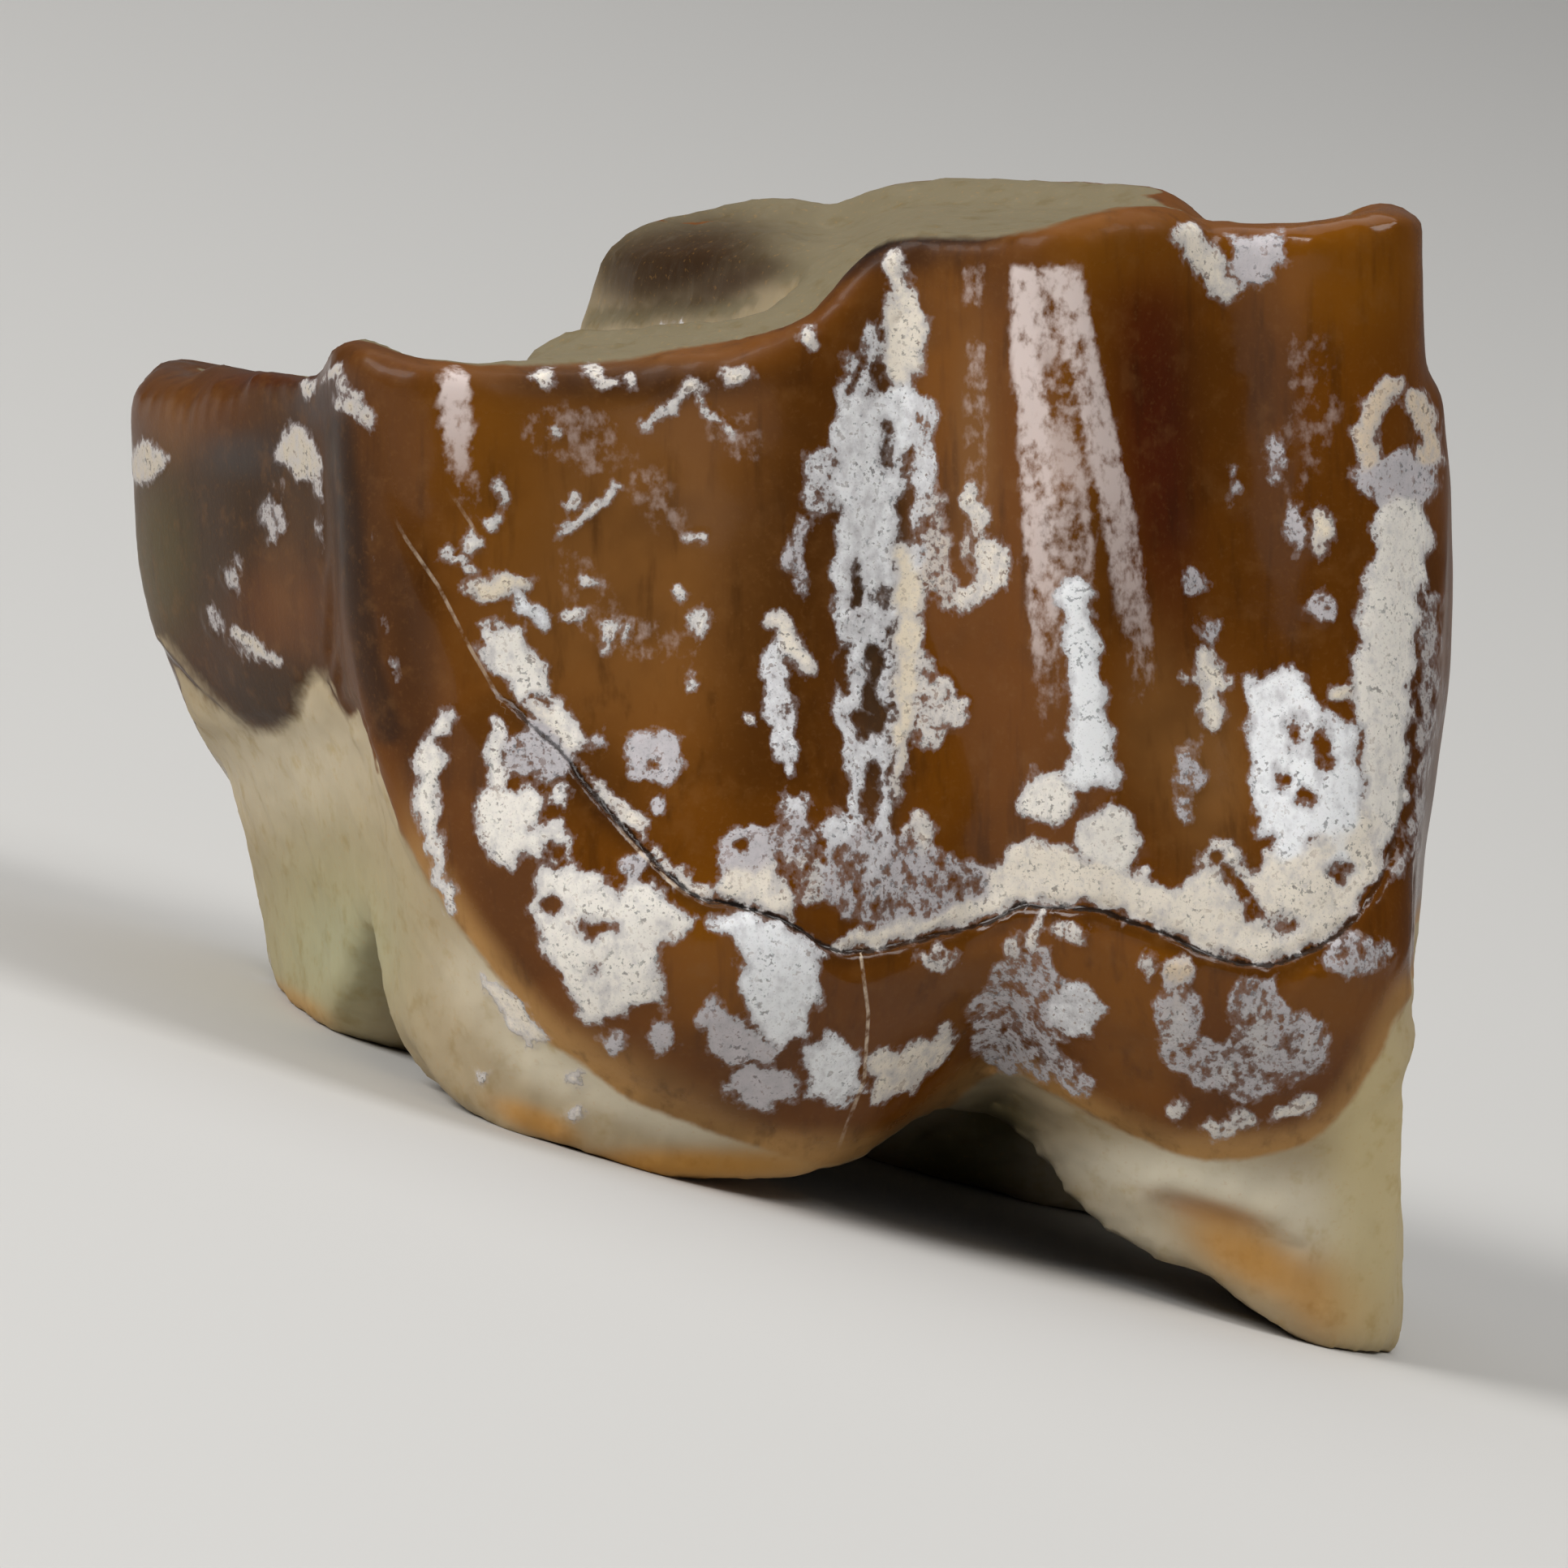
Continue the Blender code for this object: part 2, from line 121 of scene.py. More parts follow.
def smoothstep(low: float, high: float, value: np.ndarray) -> np.ndarray:
    """Runs softly from 0 at low to 1 at high.

    Args:
        low: Where the result is 0.
        high: Where the result is 1.
        value: What is read.

    Returns:
        The share between, for each value.
    """
    t = np.clip((value - low) / (high - low), 0.0, 1.0)
    return t * t * (3.0 - 2.0 * t)


def line_distance(
    points: Points, x: np.ndarray, y: np.ndarray,
) -> tuple[np.ndarray, np.ndarray, np.ndarray]:
    """Measures how far places lie from a broken line.

    Args:
        points: The line's corners as (x, y) and, if wanted, more values that run along it.
        x: First coordinate of each place.
        y: Second coordinate of each place.

    Returns:
        The distance, the side (1 or -1), and the line's other values at the nearest point of it.
    """
    best = np.full(x.shape, np.inf)
    side = np.ones(x.shape)
    values = np.zeros(x.shape + (max(len(points[0]) - 2, 1),))
    for start, end in zip(np.array(points[:-1], float), np.array(points[1:], float)):
        run = end[:2] - start[:2]
        t = np.clip(((x - start[0]) * run[0] + (y - start[1]) * run[1]) / run.dot(run), 0.0, 1.0)
        gap = np.hypot(x - start[0] - t * run[0], y - start[1] - t * run[1])
        nearer = gap < best
        best = np.where(nearer, gap, best)
        turn = run[0] * (y - start[1]) - run[1] * (x - start[0])
        side = np.where(nearer, np.sign(turn), side)
        if len(start) > 2:
            here = start[2:] + t[:, None] * (end[2:] - start[2:])
            values = np.where(nearer[:, None], here, values)
    return best, side, values


def rounded(points: Points) -> Points:
    """Cuts the corners of a broken line, so that it runs as a curve.

    Args:
        points: The line's corners as (x, y).

    Returns:
        The same line with twice the corners.
    """
    cut = [points[0]]
    for (x0, y0), (x1, y1) in zip(points[:-1], points[1:]):
        cut.append((0.75 * x0 + 0.25 * x1, 0.75 * y0 + 0.25 * y1))
        cut.append((0.25 * x0 + 0.75 * x1, 0.25 * y0 + 0.75 * y1))
    cut.append(points[-1])
    return tuple(cut)


@dataclass(frozen=True)
class Blob:
    """An oval mark, given by the box round it in the photograph's pixels."""

    left: float
    top: float
    right: float
    bottom: float

    def depth(self, px: np.ndarray, py: np.ndarray) -> np.ndarray:
        """Measures how far inside the oval each place is.

        Args:
            px: Pixel x of each place.
            py: Pixel y of each place.

        Returns:
            Pixels, negative outside.
        """
        half_x = (self.right - self.left) / 2
        half_y = (self.bottom - self.top) / 2
        reach = np.hypot((px - self.left - half_x) / half_x, (py - self.top - half_y) / half_y)
        return (1.0 - reach) * min(half_x, half_y)


@dataclass(frozen=True)
class Streak:
    """A drawn-out mark through points (x, y, half width) in the photograph's pixels."""

    points: Points

    def depth(self, px: np.ndarray, py: np.ndarray) -> np.ndarray:
        """How far inside the streak each place is, in pixels."""
        gap, _, half = line_distance(self.points, px, py)
        return half[:, 0] - gap


@dataclass(frozen=True)
class Patch:
    """A mark with corners, given as (x, y) in the photograph's pixels."""

    corners: Points

    def depth(self, px: np.ndarray, py: np.ndarray) -> np.ndarray:
        """Measures how far inside the patch each place is.

        Args:
            px: Pixel x of each place.
            py: Pixel y of each place.

        Returns:
            Pixels, negative outside.
        """
        closed = self.corners + self.corners[:1]
        gap, _, _ = line_distance(closed, px, py)
        inside = np.zeros(px.shape, bool)
        for (x0, y0), (x1, y1) in zip(closed[:-1], closed[1:]):
            crosses = (y0 > py) != (y1 > py)
            rise = y1 - y0 if y1 != y0 else 1.0
            inside ^= crosses & (px < x0 + (py - y0) * (x1 - x0) / rise)
        return np.where(inside, gap, -gap)


Mark = Blob | Streak | Patch


@dataclass(frozen=True)
class Crust:
    """A group of crust marks that share a tint and a thickness, with the holes in them."""

    place: str
    tint: Tint
    marks: tuple[Mark, ...]
    holes: tuple[Mark, ...] = ()
    cover: float = 1.0


@dataclass(frozen=True)
class Wash:
    """A broad soft area of another tone, given by its middle and reach in the photograph's pixels."""

    tone: Tone
    x: float
    y: float
    reach_x: float
    reach_y: float
    share: float = 1.0
    turn: float = 0.0

    def weight(self, px: np.ndarray, py: np.ndarray) -> np.ndarray:
        """Finds how strongly the wash covers each place.

        Args:
            px: Pixel x of each place.
            py: Pixel y of each place.

        Returns:
            The weight, from 0 to the wash's share.
        """
        turn = math.radians(self.turn)
        along = (px - self.x) * math.cos(turn) + (py - self.y) * math.sin(turn)
        across = (py - self.y) * math.cos(turn) - (px - self.x) * math.sin(turn)
        reach = (along / self.reach_x) ** 2 + (across / self.reach_y) ** 2
        return self.share * np.exp(-(reach**1.5))


@dataclass(frozen=True)
class ToothFrame:
    """The tooth's own axes, in millimetres, and how the photograph looks at them."""

    lean_deg: float = 15.7
    shift: tuple[float, float, float] = (0.0018712, -0.0098772, 0.000747)
    pixels_per_mm: float = 61.0
    middle_px: float = 966.0
    zero_px: float = 1450.0
    image_px: float = 1932.0
    elevation_deg: float = 6.5
    distance_mm: float = 500.0
    aim_mm: float = 7.934
    sensor_mm: float = 36.0

    def stand(self) -> Matrix:
        """The lean and shift from the tooth's axes to the row's, in metres."""
        lean = Matrix.Rotation(-math.radians(self.lean_deg), 4, "Y")
        return Matrix.Translation(self.shift) @ lean

    def to_row(self) -> Matrix:
        """The matrix from the tooth's millimetres to the row's metres."""
        return self.stand() @ Matrix.Scale(MM, 4)

    def axes(self) -> tuple[Vector, Vector, Vector]:
        """Finds the photograph's directions.

        Returns:
            Right, up and forward, in the tooth's axes.
        """
        tilt = math.radians(self.elevation_deg)
        right = Vector((1.0, 0.0, 0.0))
        up = Vector((0.0, math.sin(tilt), math.cos(tilt)))
        forward = Vector((0.0, math.cos(tilt), -math.sin(tilt)))
        return right, up, forward

    def photo(self, places: np.ndarray) -> tuple[np.ndarray, np.ndarray, np.ndarray]:
        """Finds where places of the tooth fall in the photograph.

        Args:
            places: Places in the tooth's millimetres, one per row.

        Returns:
            Pixel x, pixel y and the distance from the camera in millimetres.
        """
        right, up, forward = (np.array(axis) for axis in self.axes())
        away = self.distance_mm + places @ forward
        scale = self.distance_mm / away
        across = (places @ right) * scale
        height = self.aim_mm + (places @ up - self.aim_mm) * scale
        px = self.middle_px + self.pixels_per_mm * across
        py = self.zero_px - self.pixels_per_mm * height
        return px, py, away

    def camera_pose(self) -> Matrix:
        """Works out where the camera stands.

        Returns:
            The camera's place and direction in the row's metres.
        """
        right, up, forward = self.axes()
        place = up * self.aim_mm - forward * self.distance_mm
        turn = Matrix((right, up, -forward)).transposed().to_4x4()
        return self.stand() @ Matrix.Translation(place * MM) @ turn

    def lens_mm(self) -> float:
        """The focal length that gives the photograph's scale at the aim."""
        return self.sensor_mm * self.distance_mm / (self.image_px / self.pixels_per_mm)


# Lines of the photograph, in its pixels
LEDGE_LINE = rounded((
    (470, 600), (486, 640), (540, 722), (580, 800), (613, 859), (630, 866), (659, 898), (697, 930),
    (716, 962), (751, 1000), (786, 1039), (818, 1074), (863, 1109), (895, 1112), (942, 1125), (980, 1141),
    (1026, 1175), (1083, 1171), (1144, 1155), (1195, 1143), (1227, 1133), (1259, 1114), (1275, 1117),
    (1355, 1120), (1376, 1131), (1440, 1152), (1490, 1178), (1547, 1192), (1597, 1181), (1661, 1146),
    (1704, 1081), (1719, 1028), (1730, 960), (1745, 860),
))
# How dark and how wide the ledge's crack is along it, as (pixel x, strength)
LEDGE_STRENGTH = (
    (470, 0.0), (600, 0.06), (650, 0.7), (900, 1.0), (1020, 0.9), (1100, 0.7), (1250, 0.9), (1500, 0.9),
    (1650, 0.8), (1725, 0.3), (1745, 0.0),
)
NECK_LINE = rounded((
    (200, 790), (225, 822), (252, 850), (288, 886), (325, 905), (362, 890), (380, 832), (404, 832),
    (425, 880), (455, 935), (480, 988), (499, 1039), (557, 1131), (588, 1172), (620, 1214), (649, 1249),
    (671, 1281), (719, 1313), (765, 1350), (801, 1368), (847, 1384), (893, 1402), (939, 1416),
    (1010, 1438), (1077, 1434), (1123, 1409), (1155, 1382), (1196, 1341), (1243, 1314), (1308, 1356),
    (1369, 1388), (1447, 1423), (1490, 1432), (1555, 1427), (1620, 1406), (1664, 1362), (1698, 1306),
    (1722, 1252), (1745, 1218), (1790, 1192),
))
TOP_LINE = rounded((
    (380, 402), (433, 404), (480, 420), (560, 445), (650, 449), (719, 449), (780, 441), (847, 426),
    (920, 406), (950, 402), (972, 392), (994, 366), (1013, 345), (1043, 323), (1070, 305), (1103, 294),
    (1150, 292), (1211, 294), (1270, 286), (1340, 263), (1400, 251), (1450, 243), (1500, 225),
    (1800, 180),
))
CREASE_LINE = ((416, 530), (428, 620), (438, 720), (454, 820), (478, 900))
BEVEL_LINE = (
    (560, 470), (600, 487), (659, 497), (713, 500), (790, 493), (831, 466), (892, 462), (960, 420),
)
FOLD_LINE = ((1399, 1478), (1443, 1466), (1490, 1484), (1547, 1505), (1575, 1518))
# Fine pale lines, as (x, y, strength)
FINE_LINES = (
    ((1061, 1180, 0.9), (1070, 1249, 0.8), (1065, 1331, 0.7), (1045, 1382, 0.5), (1031, 1419, 0.0)),
    ((484, 634, 0.0), (500, 664, 0.35), (540, 722, 0.45), (580, 800, 0.45), (613, 856, 0.3)),
    ((752, 1010, 0.0), (790, 1052, 0.8), (822, 1084, 0.8), (850, 1106, 0.0)),
    ((550, 600, 0.0), (590, 660, 0.4), (600, 672, 0.0)),
)

# How far rims are lifted over the solid's, as (pixel x, millimetres)
OUTER_RIM_LIFT = (
    (1000, 0.0), (1060, 0.12), (1110, 0.2), (1250, 0.18), (1350, 0.18), (1440, 0.08), (1470, 0.0),
)
BACK_RIM_LIFT = (
    (150, -0.3), (175, -0.28), (205, -0.08), (235, 0.1), (265, 0.5), (300, 0.72), (325, 0.86),
    (350, 0.78), (375, 0.5), (405, 0.15), (420, 0.0),
)

# Lines of the tooth in its own millimetres: the worn outline, the hollows and the unseen part of the neck
WORN_OUTLINE = (
    (-8.75, 1.9), (-6.9, 1.0), (-3.4, 1.7), (0.0, 1.4), (2.3, 2.1), (3.9, 1.4), (5.6, 0.6), (7.3, 1.5),
    (8.8, 2.7), (11.0, 2.3), (12.6, 3.3), (12.1, 6.5), (10.8, 10.0), (7.5, 14.8), (2.6, 17.6),
    (-1.8, 17.6), (-4.4, 15.6), (-7.2, 16.8), (-11.0, 16.8), (-13.15, 13.4), (-11.8, 8.6), (-9.3, 4.6),
)
BACK_RIM = ((-13.15, 13.4), (-11.8, 8.6), (-9.3, 4.6))
VALLEY = ((-7.2, 20.5, 2.6), (-6.0, 16.0, 2.1), (-4.4, 12.5, 1.85), (-2.4, 9.6, 1.7), (-0.6, 8.2, 1.3))
BACK_PIT = ((-9.9, 10.4, 1.0), (-8.9, 7.4, 1.1))
FLOOR_HEIGHT = -0.776
NECK_MIDDLE = (0.5, 9.5)
# Height of the enamel's lower edge round the tooth, as (x, y, height)
NECK_HEIGHTS = (
    (-8.0, 2.0, 9.5), (-7.6, 2.0, 7.5), (-7.0, 1.2, 5.9), (-5.3, 0.3, 3.55), (-2.7, 0.0, 1.65),
    (0.6, 0.8, 0.4), (3.0, 2.4, 1.1), (4.2, 2.6, 1.8), (6.3, 1.8, 1.1), (9.6, 1.4, 0.2), (12.0, 3.0, 4.2),
    (12.6, 5.0, 4.6), (12.7, 8.0, 4.3), (11.3, 11.5, 4.2), (8.6, 16.4, 3.5), (3.4, 20.0, 3.0),
    (-2.0, 19.6, 3.2), (-5.0, 18.2, 4.6), (-8.0, 19.0, 4.8), (-11.0, 17.8, 5.8), (-11.8, 13.6, 7.6),
    (-10.6, 9.0, 8.2), (-8.6, 4.9, 8.8),
)

CRUSTS = (
    Crust("middle groove, cap", Tint.CREAM, (
        Patch(((1090, 362), (1122, 357), (1143, 385), (1140, 430), (1128, 478), (1100, 478),
               (1086, 440))),
        Streak(((1098, 318, 9), (1108, 350, 12), (1116, 380, 20))),
        Blob(983, 406, 1006, 426),
    )),
    Crust("middle groove, cap streaks", Tint.BLUE, (
        Streak(((1076, 398, 8), (1070, 440, 9), (1066, 490, 9))), Streak(((1048, 436, 8), (1042, 490, 9))),
    ), cover=0.7),
    Crust("middle groove, body", Tint.BLUE, (
        Patch(((1030, 492), (1085, 480), (1128, 470), (1150, 500), (1146, 560), (1128, 604), (1116, 631),
               (1108, 700), (1104, 764), (1030, 766), (1024, 700), (1036, 631), (1024, 600),
               (1022, 550))),
    ), holes=(
        Streak(((1122, 560, 6), (1114, 640, 8), (1106, 700, 6))), Streak(((1090, 520, 5), (1096, 580, 6))),
        Blob(1078, 726, 1104, 748), Streak(((1060, 700, 3), (1052, 740, 5))),
    ), cover=0.86),
    Crust("middle groove, blue fringe", Tint.BLUE, (Blob(986, 545, 1040, 640),), cover=0.5),
    Crust("middle groove, foot", Tint.BLUE, (
        Patch(((1030, 760), (1098, 758), (1100, 870), (1096, 951), (1104, 1040), (1092, 1100),
               (1052, 1090), (1044, 950), (1026, 890))),
        Blob(958, 976, 1000, 1008), Blob(1010, 1000, 1052, 1047), Blob(1004, 1060, 1026, 1088),
    ), holes=(
        Streak(((1080, 800, 7), (1072, 850, 9), (1084, 900, 10))),
        Streak(((1076, 950, 9), (1068, 1020, 8))),
        Streak(((1040, 800, 6), (1036, 850, 6))), Blob(1052, 880, 1076, 910),
    ), cover=0.66),
    Crust("middle groove, yellow strip", Tint.YELLOW, (
        Streak(((1118, 690, 18), (1120, 780, 19), (1113, 880, 14), (1105, 985, 7))),
    )),
    Crust("beside the strip", Tint.CREAM, (
        Patch(((1128, 780), (1150, 806), (1172, 846), (1196, 860), (1190, 896), (1164, 906), (1148, 930),
               (1128, 920))),
        Blob(1112, 1000, 1150, 1050),
    ), cover=0.52),
    Crust("left of the groove", Tint.CREAM, (
        Streak(((954, 762, 12), (974, 790, 15), (994, 822, 12))),
    )),
    Crust("left of the groove, cloudy", Tint.BLUE, (
        Streak(((952, 806, 14), (958, 850, 20), (964, 900, 19), (974, 948, 10))),
    ), cover=0.62),
    Crust("over the ledge, hazy", Tint.LILAC, (
        Patch(((1010, 1050), (1060, 1010), (1130, 1030), (1190, 1060), (1236, 1076), (1226, 1112),
               (1140, 1136), (1060, 1142), (1010, 1116))),
    ), cover=0.42),
    Crust("over the ledge, left", Tint.CREAM, (Blob(940, 1046, 1020, 1122),), cover=0.42),
    Crust("over the ledge, streaks", Tint.CREAM, (
        Streak(((1066, 1040, 8), (1076, 1084, 9), (1080, 1126, 8))),
        Streak(((1132, 1010, 13), (1140, 1052, 12))),
        Streak(((1024, 1066, 8), (1040, 1108, 9))), Streak(((1110, 1090, 8), (1122, 1122, 8))),
    ), cover=0.75),
    Crust("left of the body", Tint.LILAC, (
        Streak(((986, 650, 11), (976, 690, 14), (990, 730, 11))), Blob(946, 1000, 1010, 1060),
    ), cover=0.44),
    Crust("right of the groove", Tint.CREAM, (
        Streak(((1190, 606, 12), (1206, 636, 18))), Blob(1196, 660, 1246, 736),
        Streak(((1176, 742, 14), (1206, 730, 14))),
    ), cover=0.72),
    Crust("right of the groove, broken", Tint.PEACH, (
        Streak(((1144, 620, 18), (1150, 690, 20), (1172, 742, 14))), Blob(1184, 640, 1214, 700),
    ), cover=0.46),
    Crust("right of the body", Tint.BLUE, (Streak(((1136, 500, 18), (1140, 600, 16), (1132, 690, 14))),),
          cover=0.55),
    Crust("ledge, left wedges", Tint.CREAM, (
        Patch(((632, 858), (690, 872), (722, 925), (700, 930), (660, 893))),
        Patch(((708, 934), (745, 972), (798, 1012), (800, 1040), (782, 1030), (735, 975))),
        Streak(((806, 1052, 5), (835, 1078, 8), (866, 1101, 6))),
        Patch(((868, 1104), (905, 1060), (940, 1058), (985, 1100), (978, 1136), (940, 1121),
               (900, 1108))),
    )),
    Crust("ledge, middle band", Tint.CREAM, (
        Patch(((1020, 1166), (1060, 1146), (1144, 1122), (1196, 1096), (1226, 1062), (1252, 1040),
               (1290, 1036), (1330, 1054), (1380, 1064), (1440, 1098), (1462, 1086), (1482, 1052),
               (1500, 1034), (1524, 1044), (1530, 1066), (1548, 1078), (1560, 1050), (1600, 1046),
               (1690, 990), (1712, 1010), (1700, 1072), (1660, 1138), (1597, 1176), (1547, 1187),
               (1490, 1172), (1440, 1146), (1376, 1126), (1350, 1115), (1275, 1112), (1257, 1110),
               (1227, 1128), (1144, 1150), (1083, 1167), (1026, 1171))),
    ), holes=(
        Streak(((1512, 1074, 8), (1530, 1098, 9), (1546, 1124, 8))), Blob(1488, 1048, 1505, 1068),
        Blob(1562, 1128, 1602, 1150), Blob(1640, 1060, 1664, 1084),
    )),
    Crust("front ridge, white column", Tint.WHITE, (
        Patch(((1700, 610), (1752, 604), (1766, 660), (1752, 730), (1744, 800), (1738, 880), (1732, 980),
               (1712, 1050), (1680, 1050), (1676, 900), (1664, 850), (1672, 800), (1676, 740),
               (1690, 680))),
    )),
    Crust("front ridge, beside the column", Tint.GREY, (
        Streak(((1764, 740, 13), (1762, 880, 13), (1748, 1010, 10), (1722, 1080, 10))),
    ), cover=0.42),
    Crust("front ridge, ring", Tint.PEACH, (
        Streak(((1712, 474, 14), (1688, 510, 17), (1684, 566, 15))),
        Streak(((1740, 486, 11), (1760, 528, 15), (1762, 566, 15))),
    ), cover=0.9),
    Crust("front ridge, under the ring", Tint.LILAC, (Blob(1666, 556, 1778, 626),), cover=0.66),
    Crust("front ridge, blue patch", Tint.BLUE, (
        Patch(((1536, 838), (1562, 828), (1592, 822), (1612, 838), (1622, 862), (1644, 884), (1672, 896),
               (1682, 1000), (1664, 1066), (1562, 1066), (1544, 1000), (1538, 900))),
    ), holes=(
        Blob(1583, 885, 1604, 921), Blob(1619, 896, 1640, 946), Blob(1601, 974, 1619, 992),
        Blob(1611, 1033, 1633, 1056), Blob(1530, 1028, 1572, 1070), Blob(1570, 950, 1586, 972),
    )),
    Crust("front ridge, high notch", Tint.CREAM, (
        Streak(((1460, 286, 15), (1482, 316, 18), (1508, 354, 17))),
    )),
    Crust("front ridge, beside the notch", Tint.LILAC, (
        Patch(((1516, 292), (1580, 288), (1588, 318), (1560, 344), (1532, 362), (1520, 330))),
    ), cover=0.8),
    Crust("front ridge, small marks", Tint.LILAC, (
        Blob(1556, 534, 1585, 600), Blob(1583, 615, 1610, 683), Blob(1606, 729, 1648, 766),
        Blob(1511, 579, 1527, 615), Blob(1454, 701, 1487, 736), Blob(1472, 761, 1505, 791),
        Blob(1446, 980, 1476, 1015), Blob(1446, 915, 1484, 985),
    ), cover=0.5),
    Crust("front ridge, cream drop", Tint.YELLOW, (Blob(1614, 627, 1641, 681), Blob(1638, 842, 1664, 868))),
    Crust("front ridge, hook", Tint.CREAM, (
        Streak(((1458, 834, 8), (1512, 842, 11))),
        Streak(((1488, 805, 12), (1494, 886, 13))),
    )),
    Crust("paracone rib, rod", Tint.BLUE, (
        Streak(((1322, 730, 17), (1331, 780, 18), (1341, 870, 21), (1346, 940, 25))),
        Patch(((1318, 935), (1372, 932), (1382, 962), (1350, 972), (1312, 966))),
    ), cover=1.4),
    Crust("paracone rib, foot", Tint.WHITE, (
        Blob(1256, 950, 1324, 1019),
        Patch(((1332, 1010), (1370, 990), (1400, 1012), (1408, 1050), (1380, 1078), (1340, 1070),
               (1322, 1040))),
        Blob(1406, 1066, 1426, 1086),
    ), holes=(Blob(1397, 1042, 1419, 1064),)),
    Crust("upper left, bevel", Tint.CREAM, (
        Blob(655, 452, 684, 477), Streak(((722, 456, 7), (752, 471, 9))), Blob(766, 461, 783, 476),
        Blob(888, 450, 928, 478), Blob(842, 464, 866, 486),
    ), cover=0.85),
    Crust("upper left, flecks", Tint.WHITE, (
        Blob(674, 525, 696, 546), Streak(((792, 526, 6), (847, 484, 6))),
        Streak(((858, 494, 6), (899, 529, 8))),
        Streak(((710, 646, 8), (756, 605, 8))), Blob(697, 609, 712, 626), Blob(684, 645, 697, 658),
        Blob(571, 654, 596, 680), Blob(601, 632, 622, 656), Blob(609, 591, 626, 623),
        Streak(((556, 684, 9), (576, 700, 9))), Blob(713, 712, 736, 728), Blob(692, 750, 722, 769),
        Blob(825, 724, 842, 741), Blob(739, 766, 756, 800), Blob(763, 766, 781, 793),
        Blob(844, 831, 859, 851),
        Blob(916, 876, 934, 895), Streak(((846, 663, 5), (864, 666, 6))), Blob(849, 750, 872, 790),
    ), cover=0.9),
    Crust("upper left, yellow lump", Tint.YELLOW, (
        Patch(((571, 722), (596, 710), (640, 707), (658, 718), (640, 732), (600, 740), (578, 738))),
    )),
    Crust("upper left, diagonal", Tint.BLUE, (Streak(((632, 730, 7), (654, 752, 10), (670, 768, 8))),)),
    Crust("upper left, big diagonal", Tint.WHITE, (
        Patch(((588, 768), (612, 762), (640, 775), (655, 800), (680, 846), (712, 890), (720, 918),
               (700, 925), (655, 880), (612, 830), (590, 790))),
    ), holes=(Blob(655, 858, 675, 872), Blob(600, 770, 612, 780))),
    Crust("left lobe, streaks", Tint.WHITE, (
        Streak(((548, 888, 12), (530, 930, 16), (524, 985, 15), (534, 1040, 9), (546, 1090, 7),
                (560, 1124, 4))),
        Streak(((612, 894, 9), (610, 966, 12))), Blob(678, 968, 704, 992),
    ), holes=(Blob(542, 903, 565, 926),)),
    Crust("left lobe, first patch", Tint.WHITE, (
        Patch(((584, 985), (612, 968), (660, 972), (671, 1000), (655, 1020), (690, 1012), (706, 1030),
               (700, 1062), (668, 1066), (640, 1050), (632, 1068), (608, 1060), (602, 1040),
               (584, 1015))),
    ), holes=(Blob(668, 1036, 699, 1060),)),
    Crust("left lobe, speckles", Tint.LILAC, (
        Blob(623, 885, 710, 965), Blob(764, 1045, 800, 1090),
    ), cover=0.5),
    Crust("left lobe, ring", Tint.LILAC, (
        Blob(769, 897, 844, 966), Blob(800, 983, 825, 1006), Blob(729, 900, 749, 928),
    ), holes=(Blob(795, 935, 815, 953),), cover=0.7),
    Crust("left lobe, above the ledge", Tint.LILAC, (Blob(882, 1016, 958, 1083),),
          holes=(Blob(905, 1035, 925, 1052),), cover=0.75),
    Crust("left lobe, great patch", Tint.WHITE, (
        Patch(((671, 1070), (735, 1070), (761, 1100), (780, 1083), (808, 1083), (831, 1115), (859, 1134),
               (850, 1153), (818, 1160), (808, 1179), (820, 1211), (817, 1239), (783, 1236), (754, 1262),
               (710, 1255), (703, 1217), (687, 1195), (662, 1166), (665, 1137), (646, 1112))),
    ), holes=(Blob(714, 1133, 755, 1153), Blob(666, 1107, 689, 1129), Blob(726, 1190, 742, 1204))),
    Crust("left lobe, second patch", Tint.BLUE, (
        Patch(((872, 1137), (907, 1121), (980, 1144), (1013, 1180), (1006, 1240), (992, 1275),
               (958, 1294), (936, 1268), (920, 1255), (907, 1211), (917, 1195), (901, 1163))),
        Patch(((990, 1290), (1030, 1272), (1060, 1300), (1062, 1345), (1030, 1362), (996, 1350))),
    )),
    Crust("left lobe, lower patches", Tint.LILAC, (
        Patch(((858, 1262), (878, 1224), (900, 1250), (940, 1280), (968, 1285), (968, 1309), (930, 1312),
               (880, 1305))),
        Blob(797, 1259, 837, 1298), Blob(893, 1313, 985, 1366), Blob(740, 1275, 768, 1296),
    ), holes=(Blob(955, 1282, 997, 1323),), cover=0.85),
    Crust("left lobe, right end", Tint.CREAM, (
        Patch(((1068, 1300), (1110, 1290), (1150, 1278), (1172, 1256), (1176, 1285), (1150, 1320),
               (1110, 1350), (1075, 1362))),
    ), cover=0.9),
    Crust("right lobe, near the ledge", Tint.CREAM, (
        Streak(((1284, 1124, 8), (1270, 1176, 9))), Blob(1294, 1134, 1345, 1164),
        Blob(1125, 1166, 1185, 1198),
        Blob(1404, 1174, 1428, 1206), Blob(1232, 1150, 1262, 1200),
    ), cover=0.5),
    Crust("right lobe, beige", Tint.PEACH, (Streak(((1452, 1196, 19), (1448, 1240, 17))),), cover=0.9),
    Crust("right lobe, whitish", Tint.WHITE, (
        Blob(1424, 1232, 1474, 1304), Blob(1522, 1222, 1576, 1316), Blob(1590, 1266, 1626, 1308),
        Blob(1490, 1300, 1530, 1344),
    ), cover=0.66),
    Crust("right lobe, lilac", Tint.LILAC, (
        Patch(((1430, 1206), (1474, 1196), (1486, 1276), (1508, 1284), (1516, 1208), (1572, 1200),
